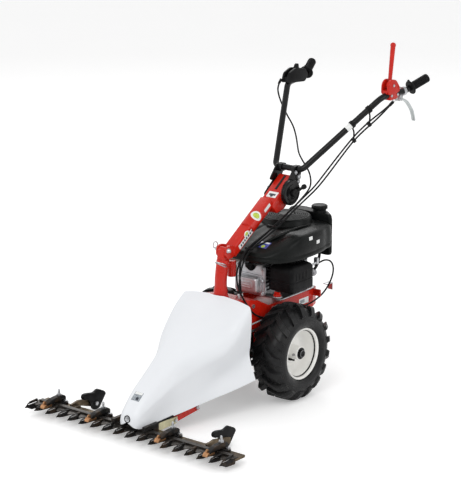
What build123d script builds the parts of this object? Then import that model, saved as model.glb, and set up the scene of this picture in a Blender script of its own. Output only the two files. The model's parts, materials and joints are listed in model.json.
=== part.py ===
from build123d import *
from math import cos, radians, sin
import os

# A walk-behind sickle-bar brush mower. Millimetres. X points to the operator's left, Y from the
# cutter bar towards the operator, Z up from the ground. The origin is on the ground, below the
# middle of the machine.

# ---- driving dimensions --------------------------------------------------------------------
LENGTH = 1370.0  # finger tips to grip ends
TIP_Y = -LENGTH / 2

FINGER_PITCH = 50.0
FINGERS = 16
FINGER_HALF = 8.0
BAR_HALF = 425.0
BAR_Y = (TIP_Y + 72, TIP_Y + 120)
BAR_Z = (24.0, 32.0)
KNIFE_Z = 35.0  # underside of the knife sections
SECTION_THICK = 2.5
KNIFE_TOP = 43.5
KNIFE_Y = (TIP_Y + 63, TIP_Y + 79)
CLAMP_X = (-350.0, -150.0, 150.0, 350.0)
SKID_X = 282.0
SKID_HALF = 7.0

ROCKER_Y = -430.0  # rocker pivot
ROCKER_REACH = 180.0  # pivot to the pin in the knife yoke
ROCKER_Z = (64.0, 76.0)
CRANK_Y = -270.0  # eccentric shaft
CRANK_THROW = 23.0

AXLE_Y = 26.0
AXLE_Z = 165.0
AXLE_R = 12.5
TYRE_R = 165.0
RIM_R = 89.0
WORM_Y = AXLE_Y - 62.0
WORM_R = 8.0

ENGINE_Y = 219.0  # engine crankshaft
TRACTION_Z = (272.0, 286.0)  # upper belt
BLADE_Z = (250.0, 264.0)  # lower belt
BELT_HALF = 3.0
DECK_WIDE = 80.0  # half width, inside the tyres
FLOOR_Z = (296.0, 302.0)

PIVOT_Y = 164.0  # handlebar tilt pivot
PIVOT_Z = 678.0
TUBE_R = 10.75
GRIP_R = 15.5
RUN = 0.05  # radial running clearance

os.makedirs("parts", exist_ok=True)


# ---- helpers --------------------------------------------------------------------------------
def block(x, y, z):
    """A box between two limits along each axis."""
    size = (x[1] - x[0], y[1] - y[0], z[1] - z[0])
    return Pos((x[0] + x[1]) / 2, (y[0] + y[1]) / 2, (z[0] + z[1]) / 2) * Box(*size)


def rod(start, end, radius):
    """A round bar from one point to another."""
    run = Vector(*end) - Vector(*start)
    return Solid.make_cylinder(radius, run.length, Plane(origin=start, z_dir=run))


def disc_x(x, y, z, radius):
    return rod((x[0], y, z), (x[1], y, z), radius)


def disc_z(z, x, y, radius):
    return rod((x, y, z[0]), (x, y, z[1]), radius)


def pipe(points, radii, radius, bore=0.0):
    """A round tube along straight runs joined by tangent arcs."""
    path = FilletPolyline(*points, radius=radii)
    section = Circle(radius) - Circle(bore) if bore else Circle(radius)
    return sweep(Plane(origin=path @ 0, z_dir=path % 0) * section, path)


def profile_x(points, x0, x1, corner=0.0):
    """An outline in the YZ plane, extruded from x0 to x1."""
    face = Plane.YZ.offset(x0) * Polygon(*points, align=None)
    if corner:
        face = fillet(face.vertices(), corner)
    return extrude(face, x1 - x0, dir=(1, 0, 0))


def profile_z(points, z0, z1, corner=0.0):
    """An outline seen from above, extruded from z0 to z1."""
    face = Plane.XY.offset(z0) * Polygon(*points, align=None)
    if corner:
        face = fillet(face.vertices(), corner)
    return extrude(face, z1 - z0, dir=(0, 0, 1))


def both(shape):
    """A shape and its mirror image on the other side of the machine."""
    return [shape, mirror(shape, about=Plane.YZ)]


def widened(half):
    """A closed outline seen from above, from its +X half, listed front to back."""
    return half + [(-x, y) for x, y in reversed(half)]


def hexagon(centre, axis, width, height):
    face = Plane(origin=centre, z_dir=axis) * RegularPolygon(width / 2, 6, major_radius=False)
    return extrude(face, height)


def spun(points, x_sign=1):
    """A ring turned about the wheel axle, from (x, radius) points."""
    face = Plane.XZ * Polygon(*[(x * x_sign, r) for x, r in points], align=None)
    return Pos(0, AXLE_Y, AXLE_Z) * revolve(face, Axis.X)


def save(name, *shapes):
    solids = [solid for shape in shapes for solid in shape.solids()]
    shape = solids[0] if len(solids) == 1 else Compound(solids)
    export_step(shape, f"parts/{name}.step")


# ---- cutter bar -------------------------------------------------------------------------------
def finger(x, half, base, lip):
    """A pointed guard finger with the slot that the knife runs in."""
    slot_front = TIP_Y + 12
    side = profile_x(
        [
            (TIP_Y, 27),
            (TIP_Y + 20, base),
            (BAR_Y[0], base),
            (BAR_Y[0], BAR_Z[1]),
            (BAR_Y[0] + 15, BAR_Z[1]),
            (BAR_Y[0] + 15, KNIFE_Z - 0.6),
            (slot_front, KNIFE_Z - 0.6),
            (slot_front, KNIFE_Z + SECTION_THICK + 0.7),
            (KNIFE_Y[0] - 4, KNIFE_Z + SECTION_THICK + 0.7),
            (KNIFE_Y[0] - 4, lip),
            (TIP_Y + 14, lip),
            (TIP_Y, 31),
        ],
        x - half,
        x + half,
    )
    rear = BAR_Y[0] + 16
    top = profile_z(
        [
            (x - half, rear),
            (x - half, TIP_Y + 22),
            (x - 2, TIP_Y),
            (x + 2, TIP_Y),
            (x + half, TIP_Y + 22),
            (x + half, rear),
        ],
        base - 1,
        lip + 2,
    )
    return side & top


def cutter_bar():
    bar = block((-BAR_HALF, BAR_HALF), BAR_Y, BAR_Z)
    save("cutter_bar", bar)
    first = -FINGER_PITCH * (FINGERS - 1) / 2
    fingers = [finger(first + i * FINGER_PITCH, FINGER_HALF, 20, 43) for i in range(FINGERS)]
    ends = [finger(side * (BAR_HALF - 6.5), 6.5, 14, 47) for side in (-1, 1)]
    save("guard_fingers", *fingers, *ends)


def knife():
    half = 24.7
    sections = []
    for i in range(FINGERS + 1):
        x = (i - FINGERS / 2) * FINGER_PITCH
        outline = [(x - half, KNIFE_Y[1]), (x - half, KNIFE_Y[0] + 5), (x - 4, TIP_Y + 32)]
        outline += [(x + 4, TIP_Y + 32), (x + half, KNIFE_Y[0] + 5), (x + half, KNIFE_Y[1])]
        sections.append(profile_z(outline, KNIFE_Z, KNIFE_Z + SECTION_THICK))
    save("knife_sections", *sections)
    back = block((-412, 412), KNIFE_Y, (KNIFE_Z + SECTION_THICK, KNIFE_TOP))
    yoke_y = (KNIFE_Y[0] + 2, KNIFE_Y[0] + 21.6)
    yoke = block((-16, 16), yoke_y, (KNIFE_TOP + 1, 49))
    yoke += block((-16, 16), (KNIFE_Y[0] + 2, KNIFE_Y[1]), (KNIFE_TOP, KNIFE_TOP + 1))
    for lug in both(block((7.8, 16), yoke_y, (49, 62))):
        yoke += lug
    save("knife_back", back, yoke)


def clamps():
    """Hold-downs that keep the knife pressed on the fingers."""
    arms, shoes = [], []
    for x in CLAMP_X:
        side = [(BAR_Y[1] - 1, BAR_Z[1]), (BAR_Y[1] - 1, 56), (-576, 64), (-606, 64), (-632, 62)]
        side += [(-662, 52), (-662, 46), (-602, 46), (-596, 44), (-596, BAR_Z[1])]
        arm = profile_x(side, x - 12, x + 12)
        arm += block((x - 24, x + 24), (-594, BAR_Y[1] - 1), (BAR_Z[1], 42))
        arms.append(arm)
        tip = [(-674, 38.2), (-632, 38.2), (-632, 46), (-662, 46), (-662, 52), (-668, 52), (-674, 42)]
        shoes.append(profile_x(tip, x - 12, x + 12))
    save("clamp_arms", *arms)
    save("clamp_shoes", *shoes)


def skids():
    """Skid shoes that carry the bar at its cutting height."""
    runner = [(-500, 0), (-474, 0), (-438, 46), (-446, 56), (-476, 72), (-496, 62), (-530, 70)]
    runner += [(-548, 70), (-554, 60), (-548, 48), (-524, 46), (-510, 26)]
    shoe = profile_x(runner, SKID_X - SKID_HALF, SKID_X + SKID_HALF)
    save("skid_shoes", *both(shoe))
    side = [(-596, 32), (-596, 44), (-560, 50), (-500, 40), (-478, 34), (-478, 16), (-500, 12), (-560, 32)]
    arm = profile_x(side, SKID_X + SKID_HALF, SKID_X + SKID_HALF + 8)
    arm += block((SKID_X - 8, SKID_X + SKID_HALF + 8), (-596, BAR_Y[1] - 1), (32, 38))
    save("skid_arms", *both(arm))


# ---- front frame --------------------------------------------------------------------------------
CHEEK = (36.0, 48.0)
BEAM_Z = (98.0, 104.0)
BEAM_HALF = 50.0


def bar_mount():
    side = [(-598, 32), (-598, 58), (-560, 98), (-505, 98), (-505, 80), (-545, 60), (-556, 32)]
    mount = block((-CHEEK[1], CHEEK[1]), (-560, -505), (92, BEAM_Z[0]))
    for shape in both(profile_x(side, *CHEEK)):
        mount += shape
    for shape in both(block((CHEEK[0], 73), (-598, -570), (32, 46))):
        mount += shape
    for shape in both(block((61, 73), (-638, -570), (45.5, 60))):
        mount += shape
    save("bar_mount", mount)
    bracket = [(-570, 32), (-570, 46), (-552, 54), (-470, 50), (-470, 28), (-560, 26), (-565, 32)]
    save("stay_brackets", *both(profile_x(bracket, 63, 67)))
    stay = [(-492, 28), (-490, 50), (-356, 61), (-352, 41)]
    save("stays", *both(profile_x(stay, 57, 63)))


def front_beam():
    cheek = [(-545, 98), (-545, 112), (-300, 160), (-200, 235), (-20, 240), (-20, 150), (-200, 98)]
    beam = block((-BEAM_HALF, BEAM_HALF), (-545, -100), BEAM_Z)
    for shape in both(profile_x(cheek, BEAM_HALF - 5, BEAM_HALF)):
        beam += shape
    for shape in both(block((BEAM_HALF - 5, 57), (-376, -358), (42, 98))):
        beam += shape
    beam -= disc_z((BEAM_Z[0] - 1, BEAM_Z[1] + 1), 0, CRANK_Y, 18)
    beam -= disc_z((BEAM_Z[0] - 1, BEAM_Z[1] + 1), 0, ROCKER_Y, WORM_R)
    save("front_beam", beam)


# Hood stations: y, then (half width, height) of the foot, waist, shoulder and top corner.
HOOD_STATIONS = [
    (-641, (40, 46), (40, 56), (34, 72), (18, 88)),
    (-608, (54, 47), (52, 68), (44, 98), (25, 121)),
    (-560, (63, 53), (59, 84), (54, 124), (34, 158)),
    (-500, (77, 62), (68, 98), (64, 156), (42, 194)),
    (-440, (90, 70), (80, 112), (73, 182), (52, 229)),
    (-385, (103, 79), (93, 126), (96, 212), (66, 260)),
    (-320, (121, 89), (106, 146), (136, 248), (88, 303)),
    (-270, (137, 98), (120, 162), (146, 288), (98, 332)),
    (-225, (153, 109), (132, 178), (149, 328), (108, 360)),
    (-185, (168, 120), (142, 198), (148, 354), (116, 386)),
]
HOOD_WALL = 3.0


def hood_loft(inset, ends):
    """The hood's outer form, or its hollow when inset by the wall."""
    faces = []
    stations = list(HOOD_STATIONS)
    stations[0] = (stations[0][0] + ends[0],) + stations[0][1:]
    stations[-1] = (stations[-1][0] + ends[1],) + stations[-1][1:]
    for y, foot, waist, shoulder, top in stations:
        half = [
            (foot[0] - inset, foot[1] - (12 if inset else 0)),
            (waist[0] - inset, waist[1]),
            (shoulder[0] - inset, shoulder[1] - inset / 2),
            (top[0] - inset / 2, top[1] - inset),
        ]
        outline = half + [(-x, z) for x, z in reversed(half)]
        faces.append(Plane.XZ.offset(-y) * Polygon(*outline, align=None))
    return loft(faces, ruled=True)


def hood():
    shell = hood_loft(0, (0, 0)) - hood_loft(HOOD_WALL, (HOOD_WALL, 2))
    shell -= block((-28, 28), (-194, -180), (350, 400))  # notch for the post
    save("hood", shell)


DECK_HALF = [(50, -215), (64, -190), (DECK_WIDE, -110), (DECK_WIDE, 250), (66, 285)]
# The neck under the post and the lower rim round the engine, seen from the side.
DECK_SIDE = [(-216, 256), (-216, 350), (-190, 372), (-150, 372), (-62, 352), (0, 320), (286, 320), (286, 256)]


def deck():
    """Engine deck: a pressed tub with an outer skirt and a closed neck under the post."""
    wall = 3
    outer = profile_z(widened(DECK_HALF), 250, 380) & profile_x(DECK_SIDE, -90, 90)
    inset = [(x - wall, y) for x, y in DECK_HALF[1:-1]]
    inset = [(50 - wall, -215 + wall)] + inset + [(66 - wall, 285 - wall)]
    ceiling = [(-216, 240), (-216, 346), (-190, 368), (-150, 368), (-64, 348), (-4, 320), (-4, 330), (290, 330)]
    hollow = profile_z(widened(inset), 240, 380) & profile_x(ceiling + [(290, 240)], -90, 90)
    tub = outer - hollow
    tub += profile_z(widened([(76, -20), (76, 248), (62, 280)]), *FLOOR_Z)
    for shape in both(block((56, DECK_WIDE - 1), (-80, -20), FLOOR_Z)):
        tub += shape
    tub -= disc_z((FLOOR_Z[0] - 1, FLOOR_Z[1] + 1), 0, ENGINE_Y, 30)
    tub -= block((-58, 58), (-220, -196), (240, 300))
    tub += block((70, 104), (258, 264), (294, 318))  # lug for the rear cable clip
    save("deck", tub)
    plate = [(-70, 240), (-54, 228), (-30, 120), (60, 110), (110, 150), (110, 240), (75, 240)]
    plate += [(75, FLOOR_Z[0]), (-20, FLOOR_Z[0]), (-20, 240)]
    plates = profile_x(plate, BEAM_HALF, BEAM_HALF + 5)
    plates -= disc_x((BEAM_HALF - 1, BEAM_HALF + 6), AXLE_Y, AXLE_Z, 20)
    save("side_plates", *both(plates))


CLEVIS = (-150.0, 534.0)  # pin through the column's fork and the post's tongue
COLUMN_FOOT = (-130.0, 509.7)
COLUMN_HEAD = (90.0, 655.0)


def post():
    """Bent post, its gusset plates and the short guide tube behind it, welded together."""
    tube = pipe([(0, -164, 372), (0, -162, 430), (0, -152, 500)], [200], 21)
    tube += Pos(0, -164, 386) * Cone(26, 21, 28)
    tube += profile_x([(-168, 490), (-161, 538), (-151, 546), (-140, 540), (-134, 490)], -14, 14)
    tube += rod((0, -104, 433), (0, -104, 488), 15)
    tube += block((-10, 10), (-140, -112), (466, 484))
    tube -= block((-40, 40), (-200, -120), (350, 372))
    tube -= rod((-40, *CLEVIS), (40, *CLEVIS), 5)
    save("post", tube)


def column():
    """Box column with its round sleeve, slotted head and fixed ratchet plate."""
    run = Vector(*COLUMN_HEAD) - Vector(*COLUMN_FOOT)
    along = run.normalized()
    up = Vector(-along.Y, along.X)
    foot = Vector(*COLUMN_FOOT)

    def at(distance, height):
        point = foot + along * distance + up * height
        return (point.X, point.Y)

    def beam(half, depth, start, end):
        outline = [at(start, -depth), at(start, depth), at(end, depth), at(end, -depth)]
        return profile_x(outline, -half, half)

    reach = run.length
    body = beam(22, 18.5, 0, reach)
    foot_lug = [(-164, 520), (-160, 546), (-142, 552), (-112, 545), (-96, 520), (-128, 503), (-152, 504)]
    body += profile_x(foot_lug, -22, 22)
    sleeve_at = [at(130, 0), at(196, 0)]
    body += rod((0, *sleeve_at[0]), (0, *sleeve_at[1]), 27)
    head = [(84, 636), (88, 654), (199, 731), (206, 712), (204, 690), (188, 662), (150, 622), (104, 612)]
    body += profile_x(head, -30, 30)
    inner = [(108, 650), (112, 662), (194, 719), (199, 708), (214, 690), (184, 668), (146, 630), (116, 624)]
    body -= profile_x(inner, -26, 26)
    body -= profile_x([(124, 655), (124, 700), (190, 745), (190, 706)], -4, 4)  # slot in the head's face
    body -= beam(19, 15.5, 24, reach - 12)
    body += disc_x((30, 35), PIVOT_Y, PIVOT_Z, 45)
    body += block((30, 49), (140, 160), (621, 631))  # cable lug
    body -= block((-14.5, 14.5), (-176, -128), (480, 552))  # fork over the post's tongue
    body -= disc_x((-40, 40), PIVOT_Y, PIVOT_Z, 6)
    body -= rod((-40, *CLEVIS), (40, *CLEVIS), 5)
    save("column", body)


# ---- blade drive -----------------------------------------------------------------------------------
def pulley(x, y, z, radius, bore):
    """A V-belt pulley with a groove round its rim."""
    middle = (z[0] + z[1]) / 2
    wheel = disc_z(z, x, y, radius + BELT_HALF)
    groove = [(radius - 4, middle - 5), (radius + 6, middle - 6.5), (radius + 6, middle + 6.5)]
    groove += [(radius - 4, middle + 5)]
    ring = revolve(Plane.XZ * Polygon(*groove, align=None), Axis.Z)
    wheel -= Pos(x, y, 0) * ring
    return wheel - disc_z((z[0] - 1, z[1] + 1), x, y, bore)


def belt(y0, r0, y1, r1, z):
    """A V belt round two pulleys on the machine's centre line, drawn a little slack."""
    middle = (z[0] + z[1]) / 2
    low, high = middle - 4.2, middle + 4.2

    def loop(grow):
        shape = disc_z((low, high), 0, y0, r0 + grow) + disc_z((low, high), 0, y1, r1 + grow)
        lean = (r0 - r1) / (y1 - y0)
        rise = (1 - lean * lean) ** 0.5
        ends = [((r0 + grow) * rise, y0 + (r0 + grow) * lean)]
        ends += [((r1 + grow) * rise, y1 + (r1 + grow) * lean)]
        return shape + profile_z(widened(ends), low, high)

    return loop(BELT_HALF) - loop(-BELT_HALF)


def blade_drive():
    tower = disc_z((BEAM_Z[1], 236), 0, CRANK_Y, 26)
    tower += block((-40, 40), (CRANK_Y - 40, CRANK_Y + 40), (BEAM_Z[1], 110))
    tower -= disc_z((BEAM_Z[1] - 1, 237), 0, CRANK_Y, 16)
    save("eccentric_housing", tower)
    shaft = disc_z((84, 268), 0, CRANK_Y, 10)
    shaft += disc_z((84, 94), 0, CRANK_Y, 32)
    shaft += disc_z((78, 84), 0, CRANK_Y - CRANK_THROW, 7)
    save("eccentric_shaft", shaft)
    save("blade_pulley", pulley(0, CRANK_Y, BLADE_Z, 50, 10))
    arm = disc_z(ROCKER_Z, 0, ROCKER_Y, 20)
    tip = ROCKER_Y - ROCKER_REACH
    arm += profile_z(widened([(8, tip), (14, ROCKER_Y)]), *ROCKER_Z)
    arm += profile_z(widened([(16, ROCKER_Y), (18, CRANK_Y + 28)]), *ROCKER_Z)
    arm += disc_z(ROCKER_Z, 0, tip, 9)
    arm += disc_z((51, ROCKER_Z[0]), 0, tip, 7)
    arm -= block((-8, 8), (CRANK_Y - 36, CRANK_Y + 30), (ROCKER_Z[0] - 1, ROCKER_Z[1] + 1))
    arm -= disc_z((ROCKER_Z[0] - 1, ROCKER_Z[1] + 1), 0, ROCKER_Y, WORM_R + RUN)
    save("rocker_arm", arm)
    save("blade_belt", belt(CRANK_Y, 50, ENGINE_Y, 28, BLADE_Z))


# ---- traction drive ----------------------------------------------------------------------------------
def traction():
    case = disc_x((-20, 20), AXLE_Y, AXLE_Z, 58) + disc_x((-50, 50), AXLE_Y, AXLE_Z, 27)
    case += disc_z((108, 238), 0, WORM_Y, 24)
    case += block((-20, 20), (-45, 20), (200, 216))
    case -= disc_x((-14, 14), AXLE_Y, AXLE_Z, 52)
    case -= disc_x((-51, 51), AXLE_Y, AXLE_Z, 20)
    case -= disc_z((112, 234), 0, WORM_Y, 17)
    case -= disc_z((233, 239), 0, WORM_Y, 10)
    save("gearbox_case", case)
    shaft = disc_x((-206, 206), AXLE_Y, AXLE_Z, AXLE_R)
    pins = [rod((x, AXLE_Y - 31, AXLE_Z), (x, AXLE_Y + 31, AXLE_Z), 4) for x in (-186, 186)]
    for pin in pins:
        shaft -= pin
    save("axle_shaft", shaft, *pins)
    wheel = disc_x((-12, 12), AXLE_Y, AXLE_Z, 48) - disc_x((-13, 13), AXLE_Y, AXLE_Z, AXLE_R)
    save("worm_wheel", wheel)
    save("worm_shaft", disc_z((113, 292), 0, WORM_Y, WORM_R) + disc_z((140, 190), 0, WORM_Y, 13.4))
    save("traction_pulley", pulley(0, WORM_Y, TRACTION_Z, 44, WORM_R))
    save("traction_belt", belt(WORM_Y, 44, ENGINE_Y, 30, TRACTION_Z))

    def ring_z(z, y, radius, bore):
        return disc_z(z, 0, y, radius) - disc_z((z[0] - 1, z[1] + 1), 0, y, bore + RUN)

    rings = [ring_z(z, WORM_Y, 17, WORM_R) for z in ((114, 126), (221, 233))]
    rings += [ring_z(z, CRANK_Y, 16, 10) for z in ((112, 124), (222, 234))]
    rings += [ring_z(z, ENGINE_Y, 26, 12.5) for z in ((320, 334), (410, 424))]
    for x in ((-48, -34), (34, 48)):
        outer = disc_x(x, AXLE_Y, AXLE_Z, 20)
        rings.append(outer - disc_x((x[0] - 1, x[1] + 1), AXLE_Y, AXLE_Z, AXLE_R + RUN))
    save("bearings", *rings)


BLADE_IDLER = ((66.0, -32.0), (63.2, -86.0))
TRACTION_IDLER = ((-68.0, 150.0), (-58.0, 100.0))
IDLER_R = 12.0
IDLER_PIN_R = 5.0


def idler(name, pivot, roller, z):
    """A belt idler: a flat arm hanging from the deck on a pivot bolt, and its roller."""
    low = z[0] - 8
    run = Vector(*roller) - Vector(*pivot)
    side = Vector(-run.Y, run.X).normalized() * 6
    start, end = Vector(*pivot), Vector(*roller)
    corners = [start + side, end + side, end - side, start - side]
    arm = profile_z([(p.X, p.Y) for p in corners], low, low + 5)
    arm += disc_z((low, low + 5), *pivot, 9) + disc_z((low, low + 5), *roller, 8)
    arm += disc_z((low + 5, FLOOR_Z[0] - 1), *pivot, 9)
    arm -= disc_z((low - 1, FLOOR_Z[0]), *pivot, IDLER_PIN_R + RUN)
    save(name, arm, disc_z((low + 5, z[1]), *roller, IDLER_R))


def idlers():
    idler("blade_idler", *BLADE_IDLER, BLADE_Z)
    idler("traction_idler", *TRACTION_IDLER, TRACTION_Z)


# ---- wheels ---------------------------------------------------------------------------------------------
def wheels():
    rim = [(92, AXLE_R), (92, 26), (146, 26), (146, 74), (100, 74), (100, RIM_R), (104, RIM_R)]
    rim += [(104, 77), (202, 77), (202, RIM_R), (206, RIM_R), (206, 74), (152, 74), (152, 26)]
    rim += [(196, 24), (196, AXLE_R)]
    rims = []
    for side in (1, -1):
        shape = spun(rim, side)
        rims.append(shape - rod((side * 186, AXLE_Y - 31, AXLE_Z), (side * 186, AXLE_Y + 31, AXLE_Z), 4))
    save("rims", *rims)
    half = [(104.2, 77), (104.2, RIM_R + 0.3), (93, 102), (88, 122), (92, 143), (103, 159), (116, TYRE_R)]
    inner = [(112, 77), (112, 98), (101, 112), (100, 132), (114, 151)]
    centre = 153.0
    far = [(2 * centre - x, r) for x, r in half]
    far_inner = [(2 * centre - x, r) for x, r in inner]
    tyre = half + far[::-1] + far_inner + inner[::-1]
    save("tyres", *[spun(tyre, side) for side in (1, -1)])


# ---- engine -------------------------------------------------------------------------------------------------
SHROUD = [(70, -60), (112, -42), (150, 10), (165, 70), (165, 150), (150, 225), (118, 290)]
SHROUD += [(-112, 290), (-138, 225), (-138, 170), (-122, 110), (-104, 60), (-98, 10), (-88, -42), (-66, -60)]


def engine():
    case = block((-74, 74), (134, 240), (302, 312)) + disc_z((302, 426), 0, ENGINE_Y, 62)
    case += block((-46, 46), (8, 160), (345, 450))
    case += block((40, 112), (8, 32), (344, 349)) + disc_z((340, 352), 100, 19, 11)
    case -= disc_z((318, 408), 0, ENGINE_Y, 54)
    case -= disc_z((301, 430), 0, ENGINE_Y, 14)
    case -= disc_z((320, 334), 0, ENGINE_Y, 26) + disc_z((410, 424), 0, ENGINE_Y, 26)
    for i in range(7):
        z = 358 + 13 * i
        case -= block((-60, -34), (14, 130), (z, z + 6)) + block((34, 60), (14, 130), (z, z + 6))
    case -= disc_z((340, 353), 100, 19, 8 + RUN)
    save("crankcase", case)
    head = block((-61, 61), (-2, 8), (345, 452))
    save("cylinder_head", fillet(head.edges().filter_by(Axis.Y), 8))
    cover = block((-53, 53), (-32, -2), (356, 418))
    cover = fillet(cover.edges().filter_by(Axis.Y), 12)
    save("valve_cover", fillet(cover.faces().sort_by(Axis.Y)[0].edges(), 6))
    shaft = disc_z((244, 470), 0, ENGINE_Y, 12.5) + disc_z((462, 490), 0, ENGINE_Y, 68)
    save("crankshaft", shaft)
    drive = pulley(0, ENGINE_Y, BLADE_Z, 28, 12.5) + pulley(0, ENGINE_Y, TRACTION_Z, 30, 12.5)
    collar = disc_z((BLADE_Z[1], TRACTION_Z[0]), 0, ENGINE_Y, 22)
    save("engine_pulley", drive + (collar - disc_z((BLADE_Z[0], TRACTION_Z[1]), 0, ENGINE_Y, 12.5)))


DOME_Y = ENGINE_Y - 20
SHROUD_TOP = 562.0
# Side view: the cowl falls away towards the front, under the column.
SHROUD_SIDE = [(-64, 505), (-30, 508), (-20, 480), (295, 480), (295, SHROUD_TOP), (70, SHROUD_TOP), (-64, 512)]


def shroud():
    """Fan cowl: a rounded shell with a vented dome over the flywheel."""
    wall = 3
    outer = profile_z(SHROUD, 470, 570) & profile_x(SHROUD_SIDE, -170, 170)
    outer += disc_z((SHROUD_TOP, 584), 0, DOME_Y, 88) + disc_z((584, 596), 0, DOME_Y, 72)
    inset = []
    for x, y in SHROUD:
        front = wall if y < 0 else 0
        rear = wall if y > 280 else 0
        inset.append((x - wall if x > 0 else x + wall, y + front - rear))
    under = [(-70, 470), (295, 470), (295, SHROUD_TOP - wall), (70, SHROUD_TOP - wall), (-70, 507)]
    shell = outer - (profile_z(inset, 469, 570) & profile_x(under, -170, 170))
    shell -= disc_z((550, 584 - wall), 0, DOME_Y, 88 - wall)
    vents = 12
    for i in range(vents):
        turn = Rot(0, 0, 360 / vents * i)
        shell -= Pos(0, DOME_Y, 0) * turn * block((30, 64), (-3, 3), (575, 600))
    save("shroud", shell)


TANK = [(-70, 292), (116, 292), (122, 302), (84, 338), (-36, 345), (-70, 330)]
CAP_AT = (56.0, 315.0)


def engine_fittings():
    tank = profile_z(TANK, 436, 585, 8) + disc_z((585, 592), *CAP_AT, 20)
    tank -= block((-62, 76), (298, 328), (444, 577)) + disc_z((570, 593), *CAP_AT, 16 + RUN)
    save("fuel_tank", tank)
    cap = disc_z((592.3, 608), *CAP_AT, 29) + disc_z((580, 592.3), *CAP_AT, 16)
    save("fuel_cap", cap)
    box = block((62, 165), (14, 141), (369, 459))
    box = fillet(box.edges().filter_by(Axis.Z), 12)
    save("air_filter_box", box - block((68, 159), (20, 135), (375, 453)))
    can = block((-165, -90), (78, 168), (362, 452))
    can = fillet(can.edges().filter_by(Axis.Y), 10)
    can = can - block((-162, -93), (81, 165), (365, 449)) + rod((-91, 110, 400), (-46, 110, 400), 12)
    save("muffler", can)
    carb = block((92, 128), (152, 196), (374, 416)) + rod((110, 141, 396), (110, 210, 396), 13)
    carb += rod((64, 176, 396), (94, 176, 396), 12) - disc_z((380, 412), 0, ENGINE_Y, 62)
    save("carburettor", carb)
    save("oil_cap", disc_z((352.3, 366), 100, 19, 14) + disc_z((344, 352.3), 100, 19, 8))
    grip = rod((-92, 312, 508), (-92, 312, 552), 8) + rod((-90, 312, 530), (-60, 312, 530), 4)
    save("starter_grip", grip - profile_z(TANK, 436, 585, 8))


# ---- handlebar -----------------------------------------------------------------------------------------------
CROSSBAR = (209.0, 750.5)
ARM_FOOT = (57.0, *CROSSBAR)
ARM_BEND = (205.0, 470.0, 983.0)
GRIP_BEND = (221.0, 592.0, 990.0)
GRIP_END = (250.7, 674.0, 1024.4)


def along(start, end, distance):
    run = Vector(*end) - Vector(*start)
    point = Vector(*start) + run.normalized() * distance
    return (point.X, point.Y, point.Z)


def flipped(point):
    return (-point[0], point[1], point[2])


def handlebar():
    right = [GRIP_END, GRIP_BEND, ARM_BEND, ARM_FOOT]
    points = right + [flipped(p) for p in reversed(right)]
    bends = [80, 60, 26, 26, 60, 80]
    bar = pipe(points, bends, TUBE_R, TUBE_R - 2)
    save("handlebar", bar)
    start = along(GRIP_BEND, GRIP_END, 18)
    end = along(GRIP_END, GRIP_BEND, -4)
    flange = along(GRIP_BEND, GRIP_END, 24)
    grip = rod(start, end, GRIP_R) + rod(start, flange, 25)
    grip -= rod(along(GRIP_BEND, GRIP_END, 10), GRIP_END, TUBE_R)
    save("grips", *both(grip))


def yoke():
    """Side plates that turn on the tilt pivot and clamp the handlebar's cross tube."""
    side = [(150, 714), (190, 764), (224, 765), (231, 738), (204, 694)]
    plate = disc_x((35.5, 52), PIVOT_Y, PIVOT_Z, 45) + profile_x(side, 35.5, 41)
    plate += block((22, 41), (192, 228), (734, 764))
    plate -= disc_x((20, 45), *CROSSBAR, TUBE_R)
    plate -= disc_x((35, 53), PIVOT_Y, PIVOT_Z, 6 + RUN)
    plain = disc_x((-41, -35.5), PIVOT_Y, PIVOT_Z, 26) + profile_x(side, -41, -35.5)
    plain += profile_x([(118, 668), (206, 738), (214, 700), (150, 640)], -41, -35.5)
    plain += block((-41, -22), (192, 228), (734, 764))
    plain -= disc_x((-45, -20), *CROSSBAR, TUBE_R)
    plain -= disc_x((-42, -35), PIVOT_Y, PIVOT_Z, 6 + RUN)
    save("handlebar_yoke", plate, plain)
    lever = disc_x((52.5, 64), PIVOT_Y, PIVOT_Z, 14)
    lever += rod((58.5, PIVOT_Y, PIVOT_Z), (58.5, PIVOT_Y + 50, PIVOT_Z + 10), 5)
    lever += rod((58.5, PIVOT_Y + 48, PIVOT_Z + 9.6), (58.5, PIVOT_Y + 64, PIVOT_Z + 12.8), 9)
    save("lock_lever", lever)


LEVER_PIVOT = (512.0, 1018.0)
CLUTCH_PIVOT = (566.0, 963.0)
THROTTLE_PIVOT = (520.0, 1024.0)


def bar_cut():
    """The space that the handlebar tube fills near its bend, for parts that clamp on it."""
    return pipe([GRIP_END, GRIP_BEND, ARM_BEND, ARM_FOOT], [80, 60], TUBE_R)


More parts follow.
